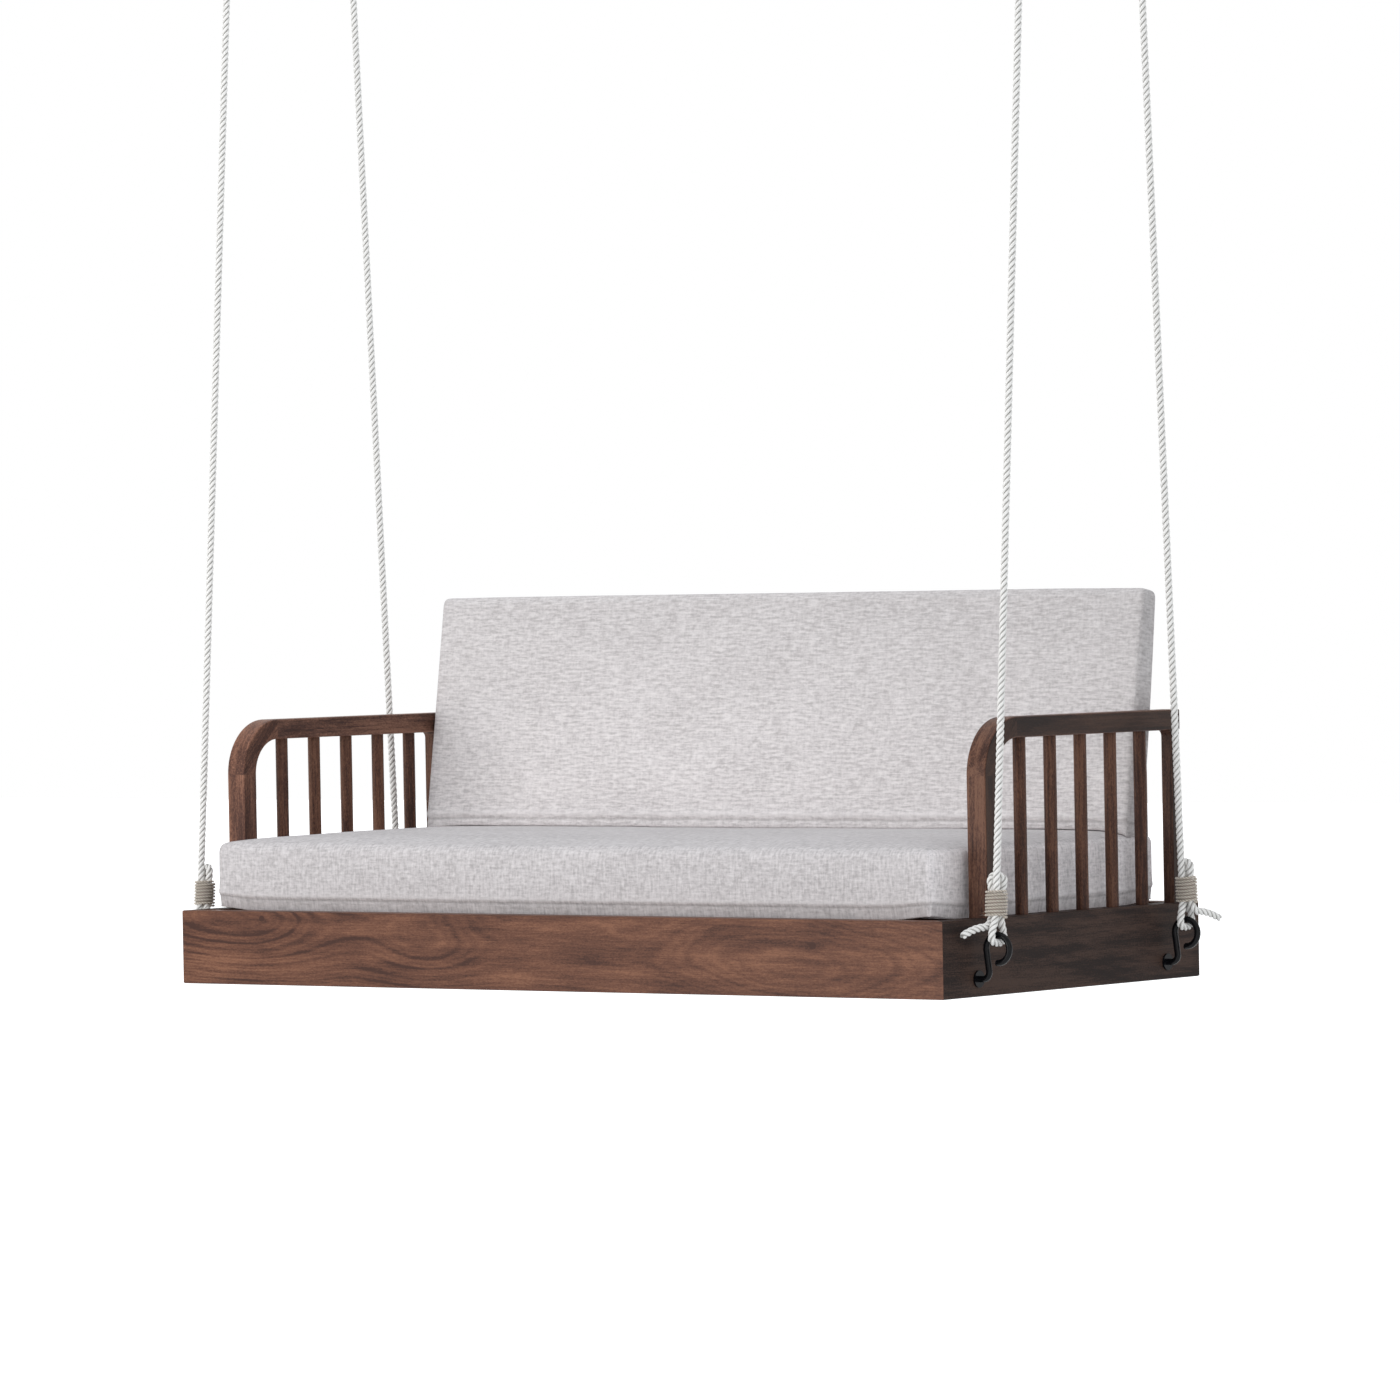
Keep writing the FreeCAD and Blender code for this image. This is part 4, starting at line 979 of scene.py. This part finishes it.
def close_lines(length: float, step: float, seams: tuple[float, ...] = ()) -> Array:
    """Places of grid lines over a length: close together at both ends and even between them.

    Args:
        length: the whole length.
        step: widest spacing.
        seams: places whose own lines take the place of the even ones near them.

    Returns:
        Rising places from 0 to the length.
    """
    last = EDGE_LINES[-1]
    spans = max(2, round((length - 2 * last) / step))
    inner = np.linspace(last, length - last, spans + 1)
    lines = np.concatenate([EDGE_LINES[:-1], inner, length - EDGE_LINES[-2::-1]])
    for place in seams:
        lines = lines[(lines < place + SEAM_ROOM[0]) | (lines > place + SEAM_ROOM[1])]
        lines = np.concatenate([lines, place + SEAM_LINES])
    return np.unique(lines)


@dataclass
class Cushion:
    """A stuffed cushion, filled by a cloth simulation, with a sewn seam near its lower edge.

    The corner is where the near left corner of its base lies, and the lean is in degrees. The cap
    limits how far the filling moves the cloth, and the tuck how far the cloth goes in below the
    seam. The strip is how dark the cloth below the seam is painted next to the seam itself, a
    painted shade where the cloth tucks under.
    """

    name: str
    node: str
    finish: ClothFinish
    length: float
    depth: float
    height: float
    corner: Triple
    lean: float
    inset: Triple
    crown: Triple
    draw: float
    rounding: float
    seam_height: float
    tuck: float
    cap: float
    step: float
    flat_base: bool
    fill: float
    seed: int
    filled_size: Triple
    taper: float = 0.0
    lift: float = 0.0
    lift_width: float = 0.055
    painted_strip_shade: float = 0.0
    groove: float = 0.0020
    roll: float = 0.0018
    swell: float = 0.0016
    pressure_frames: int = 20
    points: Array = field(init=False)
    lattice: Lattice = field(init=False)

    @property
    def size(self) -> Array:
        """Length, depth and height of the box that it starts from."""
        return np.array([self.length, self.depth, self.height])

    def turned(self, points: Array) -> Array:
        """Points of the cushion's own frame, leaned back about X and moved to its corner."""
        angle = math.radians(self.lean)
        turn = np.array([[1.0, 0.0, 0.0], [0.0, math.cos(angle), math.sin(angle)],
                         [0.0, -math.sin(angle), math.cos(angle)]])
        return points @ turn.T + np.asarray(self.corner)

    def shares(self) -> Arrays:
        """How far along, deep and high each point lies, from 0 to 1."""
        base = self.lattice.points / self.size
        return base[:, 0], base[:, 1], base[:, 2]

    def blank(self) -> Array:
        """The cover before it is filled.

        Points of the box are pulled in by the inset. Near an edge, a point is put on a ball about
        the nearest point of the box shrunk by the rounding, but a base that rests flat keeps its
        edge. Each face swells by its crown times the product of two arches, and the long sides
        pull in between the corners.

        Returns:
            Points in the cushion's own frame.
        """
        size = self.size
        inset = np.array(self.inset)
        box = self.lattice.points / size * (size - 2 * inset) + inset
        lowest = inset + self.rounding
        if self.flat_base:
            lowest[2] = 0.0
        core = np.clip(box, lowest, size - inset - self.rounding)
        away = box - core
        far = np.linalg.norm(away, axis=1, keepdims=True)
        points = core + away / np.maximum(far, 1e-9) * np.minimum(far, self.rounding)
        x, y, z = self.shares()
        arch_x = 1 - (2 * x - 1) ** 8
        arch_y = 1 - (2 * y - 1) ** 2
        arch_z = 1 - (2 * z - 1) ** 2
        side = np.where(y < 0.5, -1.0, 1.0) * np.abs(2 * y - 1) ** 6
        end = np.where(x < 0.5, -1.0, 1.0) * np.abs(2 * x - 1) ** 12
        upper = z ** 8
        lower = 0.0 if self.flat_base else (1 - z) ** 8
        points[:, 2] += self.crown[2] * arch_x * arch_y * (upper - lower)
        points[:, 1] += side * (self.crown[1] * arch_x * arch_z - self.draw * arch_x)
        points[:, 0] += end * self.crown[0] * arch_y * arch_z
        return points

    def filled(self, piece: bpy.types.Object, start: Array) -> Array:
        """Blow the cover up as cloth under pressure and cap how far each point moves.

        Args:
            piece: object with the blank's mesh.
            start: its points.

        Returns:
            The filled points.
        """
        cloth = piece.modifiers.new("fill", "CLOTH")
        settings = {"quality": 4, "use_pressure": True, "uniform_pressure_force": 4.0,
                    "tension_stiffness": 25.0, "compression_stiffness": 25.0,
                    "bending_stiffness": 1.5}
        for key, value in settings.items():
            setattr(cloth.settings, key, value)
        cloth.settings.effector_weights.gravity = 0.0
        cloth.collision_settings.use_collision = False
        cloth.point_cache.frame_start = 1
        cloth.point_cache.frame_end = self.pressure_frames
        scene = bpy.context.scene
        for number in range(1, self.pressure_frames + 1):
            scene.frame_set(number)
        evaluated = piece.evaluated_get(bpy.context.evaluated_depsgraph_get())
        points = np.empty(len(start) * 3)
        evaluated.data.vertices.foreach_get("co", points)
        points = points.reshape(-1, 3)
        piece.modifiers.remove(cloth)
        scene.frame_set(1)
        moved = points - start
        far = np.maximum(np.linalg.norm(moved, axis=1, keepdims=True), 1e-9)
        log.info("%s: filling moves points up to %.1f mm", self.name, far.max() * 1000)
        return start + moved / far * self.cap * np.tanh(far / self.cap)

    def stretched(self, points: Array) -> Array:
        """The filled points, drawn out evenly along each axis to the filled size about the middle.

        A cushion that rests flat keeps its base at zero. The rear face is drawn forward towards
        the top by the taper.
        """
        low, high = points.min(axis=0), points.max(axis=0)
        wanted = np.array(self.filled_size)
        start = (self.size - wanted) / 2
        start[2] = 0.0
        points = (points - low) / (high - low) * wanted + start
        share = np.clip(points[:, 2] / self.height, 0.0, 1.0)
        points[:, 1] *= 1 - self.taper * share ** 2
        return points

    def seam_shade_and_highlight(self) -> Array:
        """Weight of painted shade and highlight: 1 on the sewn seam round the lower edge, painted shade in
        its groove.

        It is under 0 on the roll above the seam, a painted highlight, and 0 elsewhere. The strip below the
        seam, which tucks under, counts a little as painted shade, and so do the upright corner seams.
        """
        base = self.lattice.points
        above = base[:, 2] - self.seam_height
        groove = bell(above, 0.0017)
        roll = bell(above - ROLL_HEIGHT, 0.0035)
        below = np.clip(-above / 0.003, 0.0, 1.0)
        upright = np.all((base[:, :2] < TINY) | (base[:, :2] > self.size[:2] - TINY), axis=1)
        # Painted shade in the groove and on the strip below it, less painted highlight on the roll above.
        weight = groove + self.painted_strip_shade * below * (1 - groove) - 0.40 * roll * (1 - groove)
        return np.where(upright, np.maximum(weight, 0.25), weight)

    def ripple(self, points: Array, amplitude: float, waves: int = 14) -> Array:
        """A sum of seeded sine waves in random directions, a hand's breadth and longer."""
        random = np.random.default_rng(self.seed)
        length = random.uniform(0.09, 0.34, waves)
        way = random.normal(0.0, 1.0, (3, waves))
        way *= TURN / length / np.linalg.norm(way, axis=0)
        phase = random.uniform(0, 6.28, waves)
        return amplitude * np.sin(points @ way + phase) @ (length / length.sum())

    def sewn(self, points: Array) -> Array:
        """Draw the seam in, let the cloth roll out above it and tuck it under below it."""
        middle = self.size[:2] / 2
        flat = self.lattice.points[:, :2] - middle
        near = np.abs(flat) > middle - TINY
        out = np.sign(flat) * near
        out /= np.maximum(np.linalg.norm(out, axis=1, keepdims=True), 1.0)
        level = self.lattice.points[:, 2]
        groove = bell(level - self.seam_height, 0.0022)
        roll = bell(level - self.seam_height - ROLL_HEIGHT, 0.0045)
        under = np.clip(1 - level / self.seam_height, 0, 1) ** 1.2
        moved = -self.groove * groove + self.roll * roll - self.tuck * under
        points = points.copy()
        points[:, :2] += out * moved[:, None]
        return points

    def finished_points(self, points: Array) -> Array:
        """The last shape, from the filled one: seams, soft waves and a flat base where it rests.

        The base rises towards its corners by the lift, which falls off as a bell about each corner.
        """
        points = self.sewn(self.stretched(points))
        swell = self.ripple(points, self.swell)
        _, y, z = self.shares()
        points[:, 2] += swell * np.where(z > 0.99, 1.0, 0.0)
        points[:, 1] += swell * np.where((y < 0.01) | (y > 0.99), 0.7, 0.0)
        if self.flat_base:
            points[:, 2] = np.maximum(points[:, 2], 0.0)
            points[z < TINY, 2] = 0.0
        to_end = np.minimum(points[:, :2], self.size[:2] - points[:, :2])
        at_corner = bell(np.linalg.norm(to_end, axis=1), self.lift_width)
        points[:, 2] += self.lift * at_corner * (1 - z) ** 2
        return points

    def make(self) -> None:
        """Work the cushion out in its own frame."""
        seams = ((), (), (self.seam_height,))
        self.lattice = Lattice(tuple(close_lines(side, self.step, places)
                                     for side, places in zip(self.size, seams)))
        start = self.blank()
        blank = make_piece(f"{self.name}_blank", start, self.lattice.faces)
        self.points = self.turned(self.finished_points(self.filled(blank, start)))
        bpy.data.objects.remove(blank)

    def build(self) -> None:
        piece = make_piece(self.name, self.points, self.lattice.faces, self.lattice.corners)
        seam = piece.data.attributes.new("seam", "FLOAT", "POINT")
        seam.data.foreach_set("value", self.seam_shade_and_highlight().astype(np.float32))
        smooth = piece.modifiers.new("smooth", "SUBSURF")
        smooth.levels = smooth.render_levels = 1
        piece.data.materials.append(self.finish.make())
        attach(piece, "seat")
        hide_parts(self.node)

    def top_height(self, places: Array) -> Array:
        """Height of the cushion's top over places in X and Y, between the lines of its grid."""
        top = self.points[self.lattice.index[:, :, -1]]
        cells = []
        for axis in range(2):
            lines, spots = top[:, :, axis].mean(axis=1 - axis), places[:, axis]
            cell = np.clip(np.searchsorted(lines, spots) - 1, 0, len(lines) - 2)
            share = np.clip((spots - lines[cell]) / (lines[cell + 1] - lines[cell]), 0, 1)
            cells.append((cell, share))
        (column, right), (row, back) = cells
        front_edge = top[column, row, 2] * (1 - right) + top[column + 1, row, 2] * right
        rear_edge = top[column, row + 1, 2] * (1 - right) + top[column + 1, row + 1, 2] * right
        return front_edge * (1 - back) + rear_edge * back


def seat_cushion() -> Cushion:
    """The seat cushion, which lies flat on the slats."""
    return Cushion(
        name="seat_cushion_cover", node="seat_cushion",
        finish=ClothFinish("grey_seat_cloth", (0.560, 0.530, 0.532), (0.685, 0.652, 0.654),
                           (0.405, 0.38, 0.383), slub=0.40, end=1.40),
        length=1.4175, depth=0.617, height=0.108, corner=(-0.7125, -0.334, -1.6757), lean=0.0,
        inset=(0.004, 0.004, 0.0), crown=(0.002, 0.003, 0.008), draw=0.002, rounding=0.015,
        seam_height=0.0130, tuck=0.0035, cap=0.007, step=0.012, flat_base=True, fill=0.75, seed=3,
        filled_size=(1.4135, 0.616, 0.1235), lift=0.008, painted_strip_shade=0.10)


def back_cushion() -> Cushion:
    """The back cushion, which leans back on the back rest."""
    return Cushion(
        name="back_cushion_cover", node="back_cushion",
        finish=ClothFinish("grey_back_cloth", (0.655, 0.620, 0.616), (0.785, 0.747, 0.742),
                           (0.50, 0.468, 0.466), slub=0.74, end=0.85, slopes=(-0.07, -0.62)),
        length=1.415, depth=0.056, height=0.386, corner=(-0.7125, 0.20263, -1.56572), lean=9.0,
        inset=(0.003, 0.003, 0.003), crown=(0.001, 0.001, 0.003), draw=0.001, rounding=0.011,
        seam_height=0.0205, tuck=0.0025, cap=0.002, step=0.012, flat_base=False, fill=0.8, seed=8,
        filled_size=(1.413, 0.055, 0.395), taper=0.22)


@dataclass
class Upholstery:
    """The seat cushion and the back cushion that stands on it.

    The back one's foot, up to the foot height, goes down by at most the reach, and stands the
    clearance above the seat one.
    """

    seat: Cushion = field(default_factory=seat_cushion)
    back: Cushion = field(default_factory=back_cushion)
    clearance: float = 0.0012
    foot_height: float = 0.030
    reach: float = 0.020

    def build(self) -> None:
        """Make both, with the back one's foot pressed flat on the seat one."""
        self.seat.make()
        self.back.make()
        points = self.back.points
        gap = self.seat.top_height(points[:, :2]) + self.clearance - points[:, 2]
        foot = np.clip(1 - self.back.lattice.points[:, 2] / self.foot_height, 0.0, 1.0) ** 2
        shift = np.where(gap > 0.0, gap, foot * np.maximum(gap, -self.reach))
        log.info("back cushion: foot moved %.1f to %.1f mm", shift.min() * 1000, shift.max() * 1000)
        points[:, 2] += shift
        self.seat.build()
        self.back.build()


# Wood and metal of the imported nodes


def dress(names: list[str], material: Material) -> None:
    """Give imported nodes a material.

    Args:
        names: names of the nodes.
        material: what they are made of.
    """
    for name in names:
        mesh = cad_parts[name].data
        mesh.materials.clear()
        mesh.materials.append(material)
        log.info("%s: %s", name, material.name)


@dataclass
class Joinery:
    """The wooden frame, arms, back rest and deck."""

    dark: Colour = (0.058, 0.025, 0.018)
    middle: Colour = (0.142, 0.061, 0.038)
    light: Colour = (0.240, 0.110, 0.065)

    def finish(self, name: str, grain: Grain, shade: float = 1.0, grey: float = 0.0,
               **more: float | tuple) -> WoodFinish:
        """A wood finish from the common colours.

        Args:
            name: name of the material.
            grain: direction of the grain.
            shade: share of the common colours' brightness.
            grey: share by which the colours go towards a grey brown.
            more: other fields of the finish.

        Returns:
            The finish.
        """
        tinted = [tuple(shade * (part * (1 - grey) + sum(colour) / 3 * grey) for part in colour)
                  for colour in (self.dark, self.middle, self.light)]
        return WoodFinish(name, grain, *tinted, **more)

    def build(self) -> None:
        """Dress every wooden node."""
        sides = ("left", "right")
        front = self.finish(
            "front_board_wood", Grain.LENGTHWISE, heart=(-0.445, -1.716), slopes=(0.0, -0.043), rings=85.0,
            waver=0.030, figure=0.40, mottle=1.3, roughness=0.42, calm=(-0.30, 0.10, 0.45),
            ovals=((-0.640, 0.20, 0.060), (-0.250, 0.11, 0.030), (0.470, 0.19, 0.036)),
            knots=((-0.583, -1.6845, 0.0045), (0.508, -1.7125, 0.0050)))
        dress(["front_rail"], front.make())
        dress(["rear_rail", "back_rail"], self.finish("long_board_wood", Grain.LENGTHWISE).make())
        # The side boards are darker partly by their own tone and partly by painted shade for the light
        # that falls on their outer faces.
        dress([f"{side}_rail" for side in sides],
              self.finish("side_board_wood", Grain.ACROSS, 0.25, 0.33, rings=190.0, heart=(0.2, -1.5),
                          waver=0.02, figure=0.18, mottle=3.5, roughness=0.55, gloss=0.10).make())
        # Lit and shaded copies of one wood: the left arm is painted lighter and the right one darker, as
        # painted light and shade, and each arm's inner and outer faces get painted shade.
        for side, shade, inner, outer in (("left", 1.30, 0.74, 0.48), ("right", 0.78, 0.95, 0.30)):
            look = {"painted_face_shade": (inner, outer, 0.0175), "rings": 150.0, "figure": 0.20, "mottle": 2.4}
            for piece, wood, grain, share, grey in (
                    ("top_rail", "rail", Grain.ACROSS, 1.0, 0.15),
                    ("corner", "corner", Grain.SLANTED, 1.0, 0.10),
                    ("front_post", "post", Grain.UPRIGHT, 1.0, 0.10),
                    # The rear posts are painted darker still, as painted shade.
                    ("rear_post", "rear_post", Grain.UPRIGHT, 0.6, 0.15)):
                name = f"{side}_arm_{wood}_wood"
                dress([f"{side}_arm_{piece}"],
                      self.finish(name, grain, shade * share, grey, **look).make())
        turned = {"rings": 170.0, "figure": 0.22, "mottle": 2.3}
        # Lit and shaded copies of one wood: the right spindles are painted darker than the left, as
        # painted shade.
        for side, shade in (("left", 0.70), ("right", 0.53)):
            dress([f"{side}_arm_spindle_{number}" for number in range(1, 6)],
                  self.finish(f"{side}_spindle_wood", Grain.UPRIGHT, shade, 0.05, **turned).make())
        dress(["back_spindles", "back_post_left", "back_post_right"],
              self.finish("back_spindle_wood", Grain.UPRIGHT, 0.62, 0.05, **turned).make())
        dress([f"seat_slat_{number}" for number in range(1, 10)],
              self.finish("slat_wood", Grain.ACROSS, 0.95, 0.2).make())
        dress(["front_ledger", "rear_ledger", "centre_bearer"],
              self.finish("ledger_wood", Grain.LENGTHWISE, 0.95, 0.2).make())
        dress(["corner_blocks"], self.finish("block_wood", Grain.UPRIGHT, 0.9, 0.2).make())


@dataclass
class Ironwork:
    """Hooks, flanges and ceiling eyes in black steel, nuts and screws in zinc."""

    black: MetalFinish = MetalFinish("black_steel", (0.004, 0.004, 0.005), (0.012, 0.012, 0.012),
                                     metallic=0.0, roughness=0.20, gloss=0.13)
    zinc: MetalFinish = MetalFinish("zinc_steel", (0.46, 0.45, 0.43), (0.62, 0.61, 0.58),
                                    metallic=1.0, roughness=0.40)

    def build(self) -> None:
        """Dress every metal node."""
        places = [f"{end}_{side}" for end in ("front", "rear") for side in ("left", "right")]
        dress([f"{place}_{piece}" for place in places for piece in ("hook", "ceiling_eye")]
              + ["hook_flanges"], self.black.make())
        dress(["hook_nuts", "slat_screws"], self.zinc.make())


# Camera, floor and light


@dataclass(frozen=True)
class Viewpoint:
    """The photograph's camera, whose target is measured from the middle of the frame's underside."""

    focal_pixels: float = 7950.0
    picture_pixels: float = 1400.0
    turn: float = 36.87
    rise: float = 0.97
    roll: float = 1.04
    distance: float = 12.667
    aside: float = 0.0323
    height: float = 0.4454
    middle: Triple = (0.0, -0.020, -1.791)

    def build(self) -> None:
        """Make the camera."""
        turn, rise, roll = (math.radians(angle) for angle in (self.turn, self.rise, self.roll))
        back = Vector((math.sin(turn) * math.cos(rise), -math.cos(turn) * math.cos(rise),
                       math.sin(rise)))
        right = Vector((math.cos(turn), math.sin(turn), 0.0))
        up = back.cross(right)
        target = Vector(self.middle) + right * self.aside + Vector((0, 0, self.height))
        place = target + back * self.distance
        level = right * math.cos(roll) - up * math.sin(roll)
        plumb = right * math.sin(roll) + up * math.cos(roll)
        lens = bpy.data.cameras.new("photograph")
        lens.sensor_width = 36.0
        lens.lens = self.focal_pixels / self.picture_pixels * lens.sensor_width
        lens.clip_end = 200.0
        camera = bpy.data.objects.new("photograph", lens)
        axes = Matrix((level, plumb, back)).transposed()
        camera.matrix_world = Matrix.Translation(place) @ axes.to_4x4()
        bpy.context.scene.collection.objects.link(camera)
        bpy.context.scene.camera = camera


@dataclass(frozen=True)
class Lamp:
    """A square soft box that looks at a point."""

    name: str
    place: Triple
    aim: Triple
    size: float
    power: float
    colour: Colour

    def build(self) -> None:
        """Make the lamp."""
        light = bpy.data.lights.new(self.name, "AREA")
        light.shape = "SQUARE"
        light.size = self.size
        light.energy = self.power
        light.color = self.colour
        lamp = bpy.data.objects.new(self.name, light)
        lamp.location = self.place
        lamp.rotation_mode = "QUATERNION"
        lamp.rotation_quaternion = (Vector(self.aim) - Vector(self.place)).to_track_quat("-Z", "Y")
        bpy.context.scene.collection.objects.link(lamp)


@dataclass
class Studio:
    """Pale floor, white surroundings and soft light."""

    floor_level: float = -2.62
    floor_half: float = 30.0
    ambient: float = 0.80
    ambient_colour: Colour = (0.94, 0.97, 1.0)
    lamps: tuple[Lamp, ...] = (
        Lamp("key", (-1.9, -5.5, -1.2), (0.0, 0.0, -1.5), 2.4, 90.0, (1.0, 0.97, 0.94)),
        Lamp("fill", (8.2, -4.6, -0.4), (0.0, 0.0, -1.5), 5.0, 95.0, (0.96, 0.98, 1.0)),
        Lamp("top", (-0.4, -1.4, 3.6), (0.0, 0.0, -1.5), 2.6, 40.0, (0.90, 0.95, 1.0)),
    )

    def floor(self) -> None:
        """A wide plane, white to the camera wherever no shadow falls."""
        half = self.floor_half
        corners = ((-half, -half), (half, -half), (half, half), (-half, half))
        points = np.array([(*corner, self.floor_level) for corner in corners])
        plane = make_piece("floor", points, np.array([[0, 1, 2, 3]]))
        paint = Paint("pale_floor")
        path = paint.node("ShaderNodeLightPath").outputs
        camera, gloss = (Value(paint.tree, path[f"Is {kind} Ray"]) for kind in ("Camera", "Glossy"))
        glow = camera.most(gloss)
        emission = paint.ramp(glow, ((0.0, (0.0, 0.0, 0.0)), (1.0, (0.72, 0.72, 0.72))))
        plane.data.materials.append(paint.finish(Base_Color=(0.82, 0.82, 0.82), Roughness=0.9,
                                                 Emission_Color=emission, Emission_Strength=1.0))

    def surroundings(self) -> None:
        """White to the camera and in gloss, a soft pale light to everything else."""
        world = bpy.data.worlds.new("surroundings")
        bpy.context.scene.world = world
        world.use_nodes = True
        tree = world.node_tree
        tree.nodes.clear()
        path = add_node(tree, "ShaderNodeLightPath").outputs
        camera, gloss, glass = (Value(tree, path[f"Is {kind} Ray"])
                                for kind in ("Camera", "Glossy", "Transmission"))
        soft = add_node(tree, "ShaderNodeBackground", {},
                        {"Color": self.ambient_colour, "Strength": self.ambient})
        white = add_node(tree, "ShaderNodeBackground", {}, {"Color": (1.0, 1.0, 1.0)})
        mix = add_node(tree, "ShaderNodeMixShader", {},
                       {0: camera.most(gloss).most(glass), 1: soft.outputs[0], 2: white.outputs[0]})
        add_node(tree, "ShaderNodeOutputWorld", {}, {0: mix.outputs[0]})

    def build(self) -> None:
        """Make the floor, the surroundings and the lamps."""
        self.floor()
        self.surroundings()
        for lamp in self.lamps:
            lamp.build()
        bpy.context.scene.view_settings.view_transform = "Standard"


def hangers() -> list[Hanger]:
    """The four ropes: front tails lie on the rails' side, rear tails away from them."""
    aside, low, high = 0.787, -1.697, -0.051
    return [Hanger(end, side, (way * aside, foot, low), (way * aside, head, high), way * tail_side,
                   tail_way, length)
            for side, way in (("left", -1.0), ("right", 1.0))
            for end, foot, head, tail_side, tail_way, length in (
                ("front", -0.278, -0.155, 1.0, -1.0, 2.2262),
                ("rear", 0.238, 0.155, -1.0, 1.0, 2.2237))]


def main() -> None:
    """Build the looks in order."""
    logging.basicConfig(level=logging.INFO, format="%(name)s: %(message)s")
    Viewpoint().build()
    RopeMaker().build_all(hangers())
    Upholstery().build()
    Joinery().build()
    Ironwork().build()
    Studio().build()


if __name__ == "__main__":
    main()
